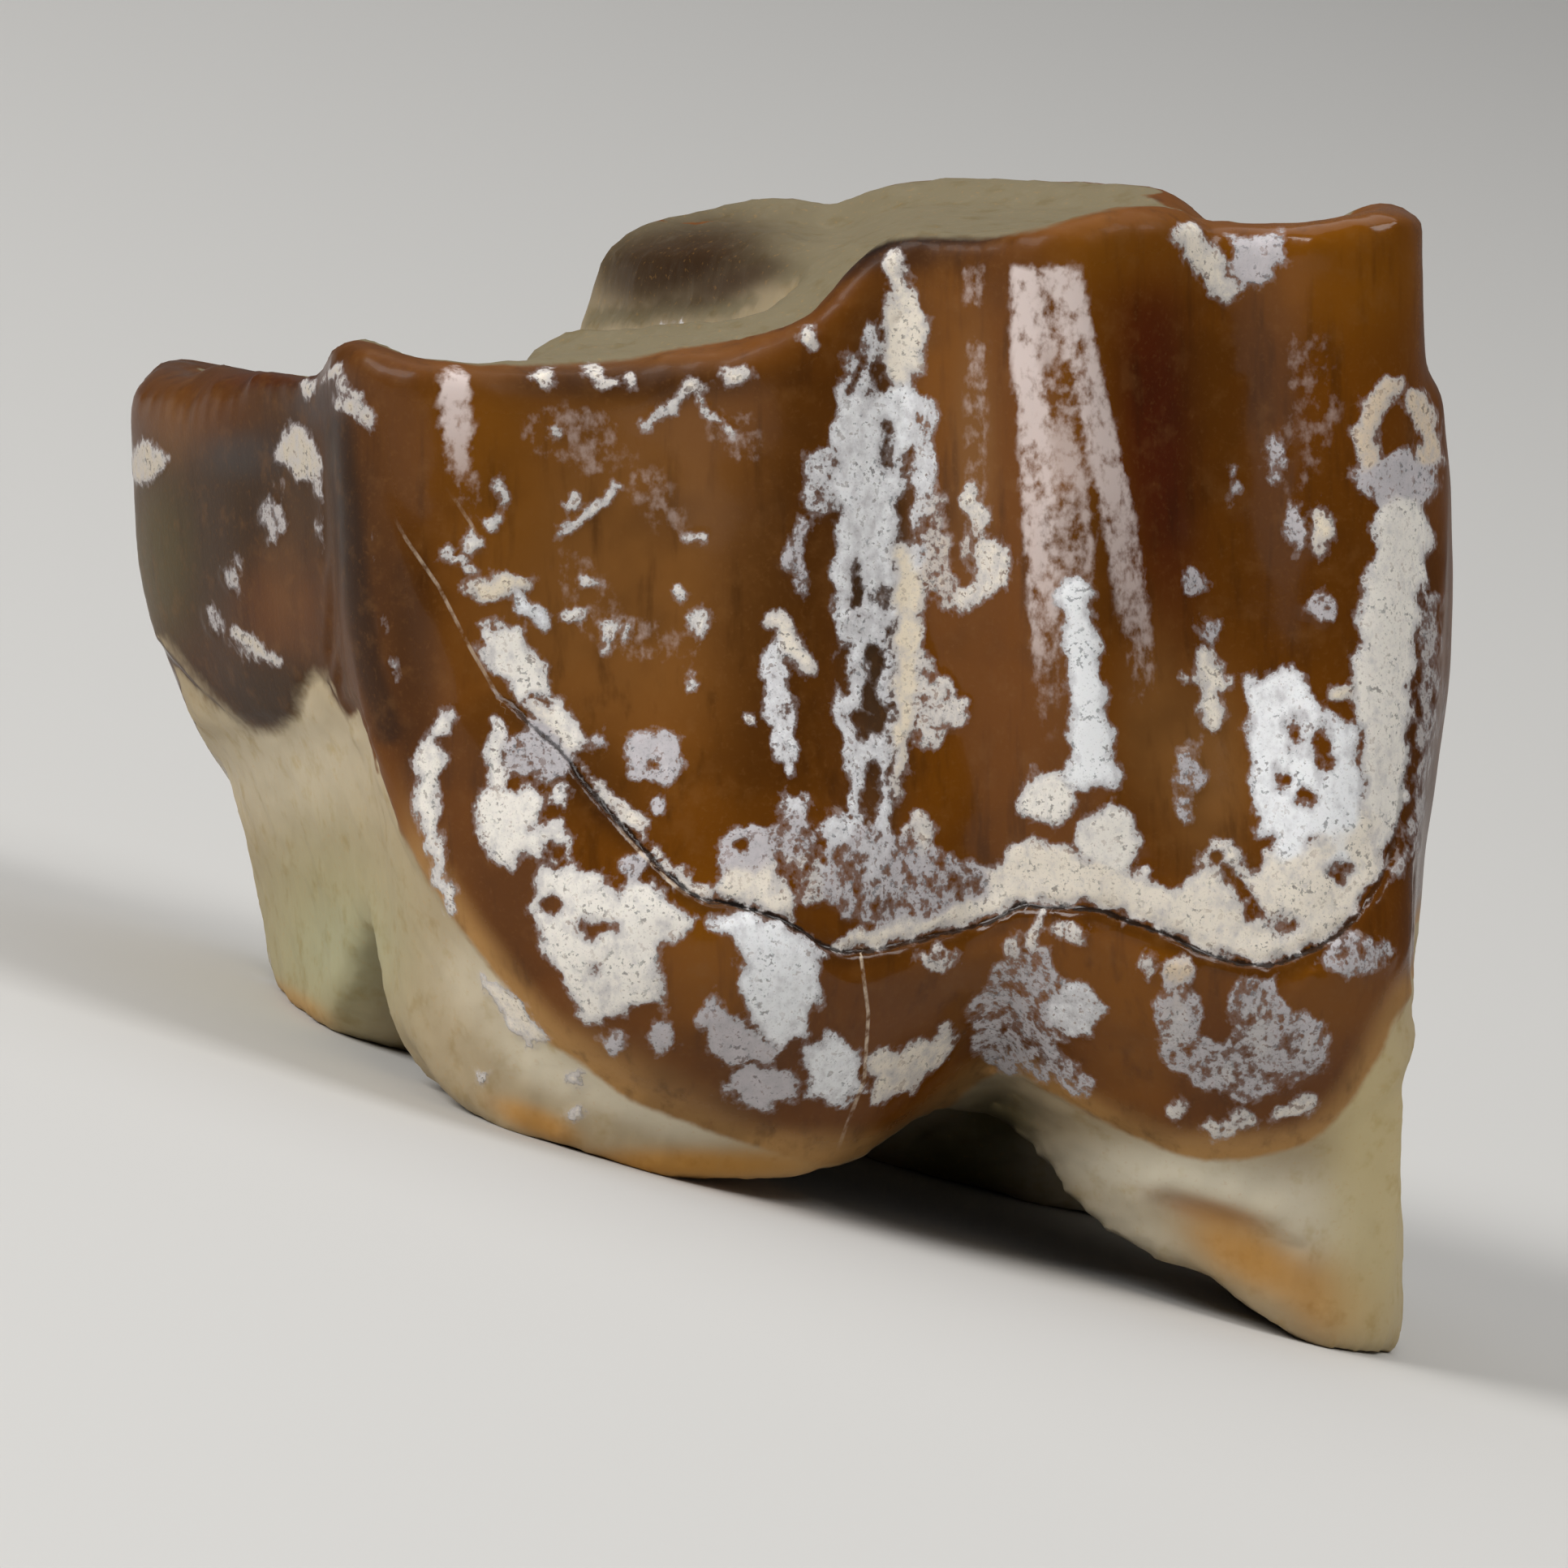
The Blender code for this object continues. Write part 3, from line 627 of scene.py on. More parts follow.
               (1588, 1244), (1636, 1256), (1642, 1312), (1590, 1340), (1536, 1362), (1478, 1340),
               (1434, 1312), (1418, 1258))),
        Patch(((1206, 1216), (1238, 1176), (1290, 1160), (1312, 1206), (1300, 1262), (1312, 1296),
               (1362, 1336), (1336, 1356), (1286, 1332), (1236, 1322), (1198, 1292), (1190, 1246))),
        Blob(1626, 1148, 1716, 1204),
    ), cover=0.46),
    Crust("right lobe, bright lilac", Tint.BLUE, (
        Patch(((1286, 1224), (1316, 1208), (1350, 1216), (1362, 1246), (1348, 1276), (1310, 1284),
               (1288, 1262))),
    ), cover=0.66),
    Crust("right lobe, low bits", Tint.CREAM, (
        Streak(((1494, 1392, 12), (1540, 1378, 13))), Streak(((1576, 1374, 11), (1618, 1356, 12))),
        Blob(1436, 1352, 1462, 1384),
    ), cover=0.6),
    Crust("front root, dots", Tint.CREAM, (
        Blob(696, 1320, 723, 1343), Blob(700, 1364, 719, 1377), Blob(586, 1318, 604, 1338),
        Patch(((594, 1196), (622, 1210), (652, 1246), (672, 1284), (650, 1290), (628, 1266),
               (602, 1230))),
    ), cover=0.95),
    Crust("back part", Tint.DUSTY, (
        Blob(156, 545, 206, 594), Blob(408, 484, 440, 516),
        Patch(((342, 526), (372, 524), (392, 552), (396, 590), (366, 592), (344, 566))),
        Streak(((378, 478, 10), (406, 458, 13))), Streak(((424, 474, 8), (456, 520, 8))),
        Streak(((288, 782, 9), (334, 812, 10))),
    ), cover=0.85),
    Crust("back part, faint", Tint.GREY, (
        Streak(((408, 560, 9), (420, 630, 10))), Blob(320, 603, 352, 668),
        Streak(((396, 600, 9), (406, 680, 10))),
        Blob(433, 655, 458, 722), Blob(250, 745, 276, 780), Blob(458, 750, 478, 778),
        Blob(474, 806, 494, 836),
        Blob(276, 690, 298, 732),
    ), cover=0.5),
)

# Painted highlight: the glare of the lights on the glossy rib and wall, as streaks of (x, y, half width,
# strength), and where its top edge is cut off
PAINTED_GLARE_TOP = 322.0
PAINTED_GLARE = (
    ((1610, 430, 26, 0.22), (1620, 500, 34, 0.26), (1600, 590, 24, 0.22)),
    ((676, 530, 34, 0.34), (740, 548, 44, 0.34), (770, 560, 20, 0.2)),
    ((900, 528, 30, 0.38), (916, 548, 26, 0.32)),
    ((796, 600, 26, 0.3), (826, 640, 22, 0.25)),
    ((782, 786, 28, 0.32), (840, 800, 24, 0.25)),
    ((706, 700, 26, 0.25), (740, 760, 30, 0.25)),
    ((1262, 322, 18, 0.85), (1262, 440, 18, 0.85), (1274, 500, 22, 0.8), (1280, 640, 22, 0.75),
     (1288, 780, 20, 0.6), (1292, 870, 16, 0.25), (1294, 920, 12, 0.0)),
    ((1312, 322, 20, 0.85), (1322, 400, 24, 0.85), (1336, 450, 20, 0.8), (1352, 520, 20, 0.8),
     (1370, 600, 22, 0.75), (1392, 720, 22, 0.6), (1405, 800, 18, 0.45), (1412, 900, 12, 0.0)),
    ((1285, 322, 34, 0.8), (1290, 420, 30, 0.75), (1298, 470, 14, 0.3)),
    ((1304, 470, 14, 0.5), (1316, 590, 28, 0.6), (1324, 680, 26, 0.55), (1330, 800, 16, 0.2)),
    ((1150, 610, 16, 0.35), (1160, 700, 18, 0.3)),
    ((1200, 322, 15, 0.45), (1200, 366, 15, 0.45)),
    ((1203, 430, 15, 0.4), (1203, 599, 14, 0.3)),
    ((560, 470, 20, 0.85), (562, 520, 22, 0.8), (566, 563, 20, 0.6), (580, 620, 16, 0.25),
     (600, 680, 10, 0.0)),
)

ENAMEL_WASHES = (
    Wash(Tone.ORANGE, 1100, 700, 900, 900, 0.25),
    Wash(Tone.MILKY, 770, 690, 210, 260, 0.75),
    Wash(Tone.ORANGE, 600, 560, 70, 160, 0.5, -12),
    # The worn bevel's own dark brown, deepened by painted shade where the facet faces up into the light
    Wash(Tone.DEEP, 770, 472, 180, 26, 0.75),
    Wash(Tone.DEEP, 480, 800, 40, 260, 0.25, -14),
    Wash(Tone.DEEP, 510, 800, 34, 150, 0.5),
    Wash(Tone.DEEP, 950, 800, 80, 260, 0.55),
    Wash(Tone.DEEP, 1010, 600, 60, 220, 0.35),
    Wash(Tone.INK, 1080, 720, 44, 330, 0.75),
    Wash(Tone.ORANGE, 1160, 420, 50, 160, 0.5),
    # Painted shadow: the dark line under the worn edge over the middle groove
    Wash(Tone.DEEP, 1100, 312, 100, 24, 0.7),
    Wash(Tone.DEEP, 1060, 322, 60, 14, 0.8, -38),
    Wash(Tone.MILKY, 1200, 560, 28, 160, 0.7),
    Wash(Tone.MILKY, 1310, 620, 40, 260, 0.35),
    Wash(Tone.BLOOD, 1425, 520, 50, 260, 0.85, -4),
    Wash(Tone.MILKY, 1420, 890, 46, 120, 0.7),
    Wash(Tone.ORANGE, 1390, 300, 120, 60, 0.6),
    Wash(Tone.ORANGE, 1660, 330, 130, 90, 0.55),
    Wash(Tone.DEEP, 1600, 700, 110, 180, 0.35),
    Wash(Tone.MILKY, 1490, 960, 60, 130, 0.9),
    Wash(Tone.DEEP, 1750, 950, 30, 300, 0.5),
    Wash(Tone.ORANGE, 870, 1200, 70, 110, 0.7),
    Wash(Tone.DEEP, 620, 1110, 80, 120, 0.3, 30),
    Wash(Tone.DEEP, 720, 960, 100, 60, 0.5, 40),
    Wash(Tone.ORANGE, 520, 1080, 40, 160, 0.6, -30),
    Wash(Tone.AMBER, 760, 1330, 240, 40, 0.55, 26),
    Wash(Tone.AMBER, 1000, 1420, 200, 26, 0.7),
    Wash(Tone.ORANGE, 1300, 1200, 200, 60, 0.5),
    Wash(Tone.ORANGE, 1400, 1300, 60, 100, 0.6),
    Wash(Tone.ORANGE, 1630, 1230, 80, 60, 0.5),
    Wash(Tone.AMBER, 1540, 1415, 170, 24, 0.6),
    Wash(Tone.DEEP, 1120, 1210, 90, 40, 0.2),
    Wash(Tone.DEEP, 1230, 1310, 60, 50, 0.25),
    # The back part: its own plum and brown tones, darkened by painted shade on the side turned from the
    # light
    Wash(Tone.PLUM, 290, 640, 190, 270, 1.0),
    Wash(Tone.BROWN, 345, 750, 60, 70, 0.7),
    Wash(Tone.BROWN, 240, 500, 90, 50, 0.6),
    Wash(Tone.MOSS, 190, 700, 50, 120, 0.45),
    Wash(Tone.BLOOD, 330, 466, 60, 14, 0.4),
    Wash(Tone.MILKY, 215, 530, 36, 50, 0.3),
    Wash(Tone.MILKY, 352, 700, 26, 80, 0.3),
    Wash(Tone.SLATE, 300, 560, 50, 30, 0.3),
    Wash(Tone.UMBER, 330, 860, 90, 55, 0.9),
    Wash(Tone.SLATE, 396, 492, 40, 34, 0.4, -30),
)

ROOT_WASHES = (
    Wash(Tone.UMBER, 855, 320, 110, 56, 1.0, -10),
    Wash(Tone.UMBER, 788, 334, 66, 52, 0.85),
    # Painted shadow in the valley's inner corner, at the foot of the brown valley wall
    Wash(Tone.DEEP, 905, 350, 66, 18, 0.7, -22),
    Wash(Tone.PALE_ROOT, 350, 940, 120, 90, 0.4),
    Wash(Tone.OLIVE, 400, 1160, 110, 150, 0.8),
    Wash(Tone.GREEN_ROOT, 420, 1170, 60, 60, 0.5),
    Wash(Tone.HONEY, 360, 1235, 60, 16, 0.6, 30),
    Wash(Tone.PALE_ROOT, 600, 1215, 70, 50, 0.5, 45),
    Wash(Tone.PALE_ROOT, 780, 1356, 130, 30, 0.8, 22),
    Wash(Tone.PALE_ROOT, 670, 1306, 70, 34, 0.7, 35),
    Wash(Tone.HONEY, 660, 1382, 60, 18, 0.9, 24),
    Wash(Tone.HONEY, 850, 1436, 200, 22, 1.0),
    Wash(Tone.MOSS, 1180, 1440, 90, 60, 0.95),
    Wash(Tone.MOSS, 1230, 1380, 50, 40, 0.8, 30),
    Wash(Tone.PALE_ROOT, 1450, 1452, 170, 40, 1.0, 8),
    Wash(Tone.PALE_ROOT, 1620, 1500, 70, 60, 0.6),
    Wash(Tone.PALE_ROOT, 1380, 1510, 80, 30, 0.6, 20),
    Wash(Tone.RUST, 1490, 1492, 74, 16, 0.7, 16),
    Wash(Tone.HONEY, 1540, 1548, 90, 36, 0.9, 30),
    Wash(Tone.HONEY, 1640, 1600, 60, 50, 0.75, 40),
    Wash(Tone.STRAW, 1690, 1450, 60, 240, 0.7),
)


class Wire:
    """An output socket that takes part in arithmetic: an expression adds its own Math nodes."""

    def __init__(self, bench: "NodeBench", socket: bpy.types.NodeSocket) -> None:
        """Keeps the socket and the bench that adds nodes beside it."""
        self.bench = bench
        self.socket = socket

    def __add__(self, other: "Wire | float") -> "Wire":
        """This value plus another."""
        return self.bench.math("ADD", self, other)

    __radd__ = __add__

    def __sub__(self, other: "Wire | float") -> "Wire":
        """This value less another."""
        return self.bench.math("SUBTRACT", self, other)

    def __rsub__(self, other: "Wire | float") -> "Wire":
        """Another value less this one."""
        return self.bench.math("SUBTRACT", other, self)

    def __mul__(self, other: "Wire | float") -> "Wire":
        """This value times another."""
        return self.bench.math("MULTIPLY", self, other)

    __rmul__ = __mul__

    def size(self) -> "Wire":
        """This value without its sign."""
        return self.bench.math("ABSOLUTE", self)

    def atmost(self, other: "Wire | float") -> "Wire":
        """The lesser of this value and another."""
        return self.bench.math("MINIMUM", self, other)

    def step(self, low: float, high: float) -> "Wire":
        """Runs softly from 0 at low to 1 at high.

        Args:
            low: The value that gives 0.
            high: The value that gives 1, which may be the smaller of the two.

        Returns:
            The share between.
        """
        turned = low > high
        settings = {"interpolation_type": "SMOOTHSTEP"}
        ends = {"Value": self, "From Min": min(low, high), "From Max": max(low, high)}
        share = self.bench.add("ShaderNodeMapRange", settings, ends)
        return 1.0 - share if turned else share


class NodeBench:
    """Adds nodes to one material, each by its type, its settings and its inputs."""

    def __init__(self, name: str) -> None:
        """Starts an empty material.

        Args:
            name: The material's name.
        """
        self.material = bpy.data.materials.new(name)
        self.material.use_nodes = True
        self.tree = self.material.node_tree
        self.tree.nodes.clear()
        self.turned: Wire | None = None

    def add(
        self, kind: str, settings: dict | None = None, inputs: dict | None = None, output: int = 0,
    ) -> Wire:
        """Adds one node.

        Args:
            kind: The node's type.
            settings: Values of the node itself, set before its sockets are filled.
            inputs: Values or wires by socket name or number.
            output: Which of its outputs is wanted.

        Returns:
            The wanted output as a wire.
        """
        node = self.tree.nodes.new(kind)
        for name, value in (settings or {}).items():
            setattr(node, name, value)
        for name, value in (inputs or {}).items():
            if isinstance(value, Wire):
                self.tree.links.new(value.socket, node.inputs[name])
            else:
                node.inputs[name].default_value = value
        return Wire(self, node.outputs[output] if node.outputs else None)

    def math(self, operation: str, first: Wire | float, second: Wire | float | None = None) -> Wire:
        """Adds one Math node on one or two values."""
        inputs = {0: first} if second is None else {0: first, 1: second}
        return self.add("ShaderNodeMath", {"operation": operation}, inputs)

    def mix(
        self, share: Wire | float, first: Wire | tuple, second: Wire | tuple, blend: str = "MIX",
    ) -> Wire:
        """Mixes two colours.

        Args:
            share: How much of the second, from 0 to 1.
            first: A colour or a wire that carries one.
            second: The other colour.
            blend: How the two are combined.

        Returns:
            The mixed colour.
        """
        colours = [(*c, 1.0) if isinstance(c, tuple) else c for c in (first, second)]
        settings = {"data_type": "RGBA", "blend_type": blend, "clamp_factor": True}
        return self.add("ShaderNodeMix", settings, {0: share, 6: colours[0], 7: colours[1]}, output=2)

    def field(self, name: str) -> Wire:
        """Reads a number that is painted on the mesh."""
        return self.add("ShaderNodeAttribute", {"attribute_name": name}, output=2)

    def paint(self, name: str) -> Wire:
        """Reads a colour that is painted on the mesh."""
        return self.add("ShaderNodeAttribute", {"attribute_name": name}, output=0)

    def grain(self, per_mm: float, detail: float, rough: float = 0.6, squash: float = 1.0) -> Wire:
        """Adds noise that stays fixed to the tooth.

        Args:
            per_mm: Cells in a millimetre.
            detail: Octaves of finer noise.
            rough: Strength of the finer octaves.
            squash: How much finer it is across the crown than up it.

        Returns:
            A value round a half.
        """
        scale = (per_mm / MM, per_mm / MM, per_mm / MM / squash)
        scaled = self.add("ShaderNodeVectorMath", {"operation": "MULTIPLY"}, {0: self.upright(), 1: scale})
        return self.add("ShaderNodeTexNoise", {}, {
            "Vector": scaled, "Scale": 1.0, "Detail": detail, "Roughness": rough,
        })

    def upright(self) -> Wire:
        """Turns the places of the piece so that the crown stands upright; the nodes are added once.

        Returns:
            The turned places.
        """
        if self.turned is None:
            axes = self.add("ShaderNodeTexCoord", output=3)
            turn = (0.0, math.radians(ToothFrame.lean_deg), 0.0)
            self.turned = self.add("ShaderNodeMapping", {}, {"Vector": axes, "Rotation": turn})
        return self.turned


@dataclass(frozen=True)
class ToothFinish:
    """Finish of the whole tooth: glossy enamel, satin root and dentine, and matte mineral crust."""

    enamel_roughness: float = 0.2
    root_roughness: float = 0.42
    crust_roughness: float = 0.55
    coat: float = 0.17
    coat_roughness: float = 0.07
    refraction: float = 1.25
    subsurface: float = 0.04
    subsurface_mm: float = 0.6
    crack_colour: tuple[int, int, int] = (22, 16, 12)
    # colour of the painted glare on the rib and wall
    painted_glare_colour: tuple[int, int, int] = (230, 214, 208)
    thin_crust: tuple[int, int, int] = (182, 178, 180)
    crust_fringe: tuple[int, int, int] = (92, 84, 80)
    root_shade: tuple[int, int, int] = (236, 228, 206)
    hollow_shade_colour: tuple[int, int, int] = (30, 24, 14)
    relief_strength: float = 0.35
    relief_mm: float = 0.06
    broad_cells: float = 0.35
    medium_cells: float = 1.6
    patchy_cells: float = 4.0
    fine_cells: float = 9.0
    dust_cells: float = 20.0
    streak_cells: float = 2.4
    streak_squash: float = 7.0

    def make(self) -> bpy.types.Material:
        """Builds the material from the fields on the mesh.

        Returns:
            The material.
        """
        bench = NodeBench("tooth_enamel_root_and_crust")
        broad = bench.grain(self.broad_cells, 3.0, 0.55)
        medium = bench.grain(self.medium_cells, 3.0)
        patchy = bench.grain(self.patchy_cells, 3.0, squash=1.3)
        fine = bench.grain(self.fine_cells, 2.0)
        dust = bench.grain(self.dust_cells, 1.0)
        streaks = bench.grain(self.streak_cells, 3.0, squash=self.streak_squash)
        enamel = (bench.field("enamel_gap") + (medium - 0.5) * 0.16).step(-0.07, 0.08)
        unseen = bench.field("unseen")
        cover = bench.field("cover")
        # The crust's edge is ragged; it is eaten through where it is thin, and sparse where it is unseen
        ragged = (patchy - 0.5) * 0.75 + (medium - 0.5) * 0.35 + (fine - 0.5) * 0.15
        crust_depth = bench.field("crust").atmost(cover * 0.3) + cover * 0.2 - 0.2 + ragged
        crust_depth = crust_depth + unseen * (broad - 0.45) * 2.4
        crust = crust_depth.step(-0.03, 0.04)
        speckle = (fine + patchy - 1.1).step(0.02, 0.14) * crust_depth.step(0.6, 0.1)
        crust = crust * (1.0 - speckle * 0.7)
        veil = crust_depth.step(-0.16, 0.02) * 0.22

        enamel_colour = self.enamel_colour(bench, streaks, broad, medium, fine)
        root_colour = self.root_colour(bench, medium, fine, streaks)
        body = bench.mix(enamel, root_colour, enamel_colour)
        crust_colour = self.crust_colour(bench, crust_depth, medium, fine, dust)
        # Painted highlight: pale mottled glare laid over enamel and root
        painted_glare = bench.field("painted_glare")
        painted_glare = painted_glare * (painted_glare + (patchy - 0.5) * 2.2 + (medium - 0.5) * 1.4).step(0.1, 0.95)
        body = bench.mix(painted_glare, body, linear(self.painted_glare_colour))
        colour = bench.mix(veil, body, Tint.LILAC.light)
        colour = bench.mix(crust, colour, crust_colour)
        scratch = bench.field("line_gap").size().step(0.05, 0.02) * bench.field("line_strength")
        scratch = scratch * (patchy - 0.5).step(-0.18, 0.14)
        colour = bench.mix(scratch, colour, Tint.PEACH.light)
        crack = self.crack(bench, medium, patchy)
        colour = bench.mix(crack, colour, linear(self.crack_colour))
        # Painted shade: dark in the hollows under the crown and down in the valley
        colour = bench.mix(bench.field("hollow_shade"), colour, linear(self.hollow_shade_colour))

        roughness = self.root_roughness + enamel * (self.enamel_roughness - self.root_roughness)
        roughness = roughness + crust * (self.crust_roughness - self.enamel_roughness) + (fine - 0.5) * 0.12
        gloss = bench.field("gloss")
        roughness = roughness + (1.0 - gloss) * 0.3
        coat = enamel * (1.0 - crust * 0.85) * gloss * self.coat + 0.03
        height = crust * 0.5 + patchy * 0.1 + fine * 0.12 + dust * 0.05 + streaks * 0.1 - crack * 1.2
        height = height + (1.0 - enamel) * (medium * 0.4 + streaks * 0.15)
        relief = bench.add("ShaderNodeBump", {}, {
            "Strength": self.relief_strength, "Distance": self.relief_mm * MM, "Height": height,
        })
        shader = bench.add("ShaderNodeBsdfPrincipled", {}, {
            "Base Color": colour,
            "Roughness": roughness,
            "Coat Weight": coat,
            "Coat Roughness": self.coat_roughness,
            "IOR": self.refraction,
            "Subsurface Weight": self.subsurface,
            "Subsurface Radius": (1.0, 0.5, 0.25),
            "Subsurface Scale": self.subsurface_mm * MM,
            "Normal": relief,
        })
        bench.add("ShaderNodeOutputMaterial", {}, {"Surface": shader})
        return bench.material

    def enamel_colour(self, bench: NodeBench, streaks: Wire, broad: Wire, medium: Wire, fine: Wire) -> Wire:
        """Gives the brown enamel its growth streaks and clouds.

        Args:
            bench: Where the nodes go.
            streaks: Noise drawn out up the crown.
            broad: Noise of some millimetres.
            medium: Noise of about a millimetre.
            fine: Noise of about a tenth of a millimetre.

        Returns:
            The enamel's colour.
        """
        tone = bench.paint("enamel_tone")
        darker = bench.mix((streaks - 0.5).step(0.0, 0.3) * 0.45, tone, Tone.DEEP.light)
        shaded = bench.mix((broad - 0.48).step(0.0, 0.2) * 0.3, darker, Tone.DEEP.light)
        clouds = bench.mix((medium - 0.5).step(0.0, 0.25) * 0.22, shaded, Tone.MILKY.light)
        return bench.mix((fine - 0.52).step(0.0, 0.3) * 0.2, clouds, Tone.MILKY.light)

    def root_colour(self, bench: NodeBench, medium: Wire, fine: Wire, streaks: Wire) -> Wire:
        """Gives root and dentine their stains and grain.

        Args:
            bench: Where the nodes go.
            medium: Noise of about a millimetre.
            fine: Noise of about a tenth of a millimetre.
            streaks: Noise drawn out up the crown.

        Returns:
            The colour of root and dentine.
        """
        tone = bench.paint("root_tone")
        stained = bench.mix((medium - 0.5).step(0.0, 0.25) * 0.8, tone, linear(self.root_shade), "MULTIPLY")
        lined = bench.mix((streaks - 0.5).step(0.0, 0.3) * 0.03, stained, Tone.PALE_ROOT.light)
        return bench.mix((fine - 0.6).step(0.0, 0.12) * 0.14, lined, Tone.HONEY.light)

    def crust_colour(self, bench: NodeBench, depth: Wire, medium: Wire, fine: Wire, dust: Wire) -> Wire:
        """Gives the mineral crust its mottling, with grey and dirty fringes where it is thin.

        Args:
            bench: Where the nodes go.
            depth: How thick the crust lies.
            medium: Noise of about a millimetre.
            fine: Noise of about a tenth of a millimetre.
            dust: The finest noise.

        Returns:
            The crust's colour.
        """
        tint = bench.paint("crust_tint")
        thin = bench.mix(depth.step(0.34, 0.04) * 0.65, tint, linear(self.thin_crust))
        dirty = bench.mix(depth.step(0.08, -0.03) * 0.5, thin, linear(self.crust_fringe))
        spots = (fine - 0.55).step(0.0, 0.08) * (medium - 0.5).step(-0.04, 0.1) * 0.55
        spots = spots + (dust - 0.6).step(0.0, 0.12) * 0.2
        return bench.mix(spots, dirty, Tone.SLATE.light)

    def crack(self, bench: NodeBench, medium: Wire, patchy: Wire) -> Wire:
        """Draws the dark crack along the ledge.

        Args:
            bench: Where the nodes go.
            medium: Noise that makes it waver.
            patchy: Noise that makes it thick and thin.

        Returns:
            1 in the crack and 0 beside it.
        """
        gap = (bench.field("ledge_gap") + (medium - 0.5) * 0.05).size()
        return (gap + (patchy - 0.5) * 0.2).step(0.07, 0.02) * bench.field("ledge_strength")


@dataclass(frozen=True)
class FloorFinish:
    """Finish of the plain pale floor."""

    colour: tuple[int, int, int] = (206, 204, 200)
    roughness: float = 0.85

    def make(self) -> bpy.types.Material:
        """Builds the material.

        Returns:
            The material.
        """
        bench = NodeBench("pale_floor")
        shader = bench.add("ShaderNodeBsdfPrincipled", {}, {
            "Base Color": (*linear(self.colour), 1.0), "Roughness": self.roughness,
        })
        bench.add("ShaderNodeOutputMaterial", {}, {"Surface": shader})
        return bench.material


@dataclass
class Specimen:
    """The tooth as a fine skin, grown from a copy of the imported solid."""

    axes: ToothFrame
    voxel_mm: float = 0.262
    settle_passes: int = 14
    fine_passes: int = 4
    lip_passes: int = 70
    view_cell_px: float = 10.0
    ledge_height: float = 0.294
    ledge_reach: float = 0.45
    crack_depth: float = 0.09
    crack_width: float = 0.09
    lip_height: float = 0.13
    bevel_slope: float = 0.22
    fold_height: float = 0.1
    fold_depth: float = 0.17
    crust_height: float = 0.035
    root_relief: float = 0.07
    wave_height: float = 0.006
    flute_height: float = 0.008
    rim_width: float = 0.85
    amber_share: float = 0.75
    piece: bpy.types.Object = field(init=False)
    lowest: np.ndarray = field(init=False)
    highest: np.ndarray = field(init=False)
    places: np.ndarray = field(init=False)
    facing: np.ndarray = field(init=False)
    px: np.ndarray = field(init=False)
    py: np.ndarray = field(init=False)
    away: np.ndarray = field(init=False)
    first: np.ndarray = field(init=False)
    second: np.ndarray = field(init=False)
    links: np.ndarray = field(init=False)
    seen: np.ndarray = field(init=False)
    enamel_gap: np.ndarray = field(init=False)
    crust: np.ndarray = field(init=False)
    crust_tint: np.ndarray = field(init=False)
    cover: np.ndarray = field(init=False)

    def build(self, node: bpy.types.Object) -> bpy.types.Object:
        """Makes the whole piece.

        Args:
            node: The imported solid.

        Returns:
            The finished piece, in the row's metres.
        """
        self.lowest, self.highest = (np.array(corner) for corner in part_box("tooth"))
        self.piece = self.copy_of(node)
        self.even_skin()
        self.settle(self.settle_passes)
        self.refine_seen_side()
        self.settle(self.fine_passes)
        self.read()
        self.sculpt()
        self.store()
        self.read()
        self.paint()
        self.dress()
        return self.piece

    def copy_of(self, node: bpy.types.Object) -> bpy.types.Object:
        """Copies the solid and merges its loose triangles.

        Args:
            node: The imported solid.

        Returns:
            The copy, selected alone and active.
        """
        bpy.ops.object.select_all(action="DESELECT")
        piece = bpy.data.objects.new("tooth_specimen", node.data.copy())
        bpy.context.scene.collection.objects.link(piece)
        piece.data.name = "tooth_specimen"
        piece.select_set(True)
        bpy.context.view_layer.objects.active = piece
        bpy.ops.object.mode_set(mode="EDIT")
        bpy.ops.mesh.select_all(action="SELECT")
        bpy.ops.mesh.remove_doubles(threshold=1e-6)
        bpy.ops.object.mode_set(mode="OBJECT")
        return piece

    def even_skin(self) -> None:
        """Turns the copy into one even skin of small quads."""
        skin = self.piece.modifiers.new("skin", "REMESH")
        skin.mode = "VOXEL"
        skin.voxel_size = self.voxel_mm * MM
        bpy.ops.object.modifier_apply(modifier=skin.name)

    def refine_seen_side(self) -> None:
        """Splits the quads that the camera sees, so that the marked side has the finest skin."""
        self.read()
        mesh = self.piece.data
        seen = self.seen_weight() > 0.5
        count = len(mesh.polygons)
        corners = np.empty(len(mesh.loops), np.int32)
        mesh.loops.foreach_get("vertex_index", corners)
        starts = np.empty(count, np.int32)
        mesh.polygons.foreach_get("loop_start", starts)
        chosen = seen[corners[starts]]
        bpy.ops.object.mode_set(mode="EDIT")
        bpy.ops.mesh.select_mode(type="FACE")
        bpy.ops.mesh.select_all(action="DESELECT")
        bpy.ops.object.mode_set(mode="OBJECT")
        mesh.polygons.foreach_set("select", chosen)
        bpy.ops.object.mode_set(mode="EDIT")
        bpy.ops.mesh.subdivide(number_cuts=1)
        bpy.ops.object.mode_set(mode="OBJECT")

    def settle(self, passes: int) -> None:
        """Smooths facets away without shrinking the form.

        Args:
            passes: Pairs of a smoothing step and a swelling step.
        """
        self.read()
        for _ in range(passes):
            for share in (0.6, -0.62):
                self.places += share * (self.around(self.places) - self.places)
        self.store()

    def around(self, values: np.ndarray) -> np.ndarray:
        """Takes the mean of what lies next to each vertex.

        Args:
            values: One value or one row of values for each vertex.

        Returns:
            The neighbours' means, in the same shape.
        """
        columns = values.reshape(len(values), -1)
        means = np.empty_like(columns)
        for i, column in enumerate(columns.T):
            total = np.bincount(self.first, column[self.second], len(column))
            total += np.bincount(self.second, column[self.first], len(column))
            means[:, i] = total / self.links
        return means.reshape(values.shape)

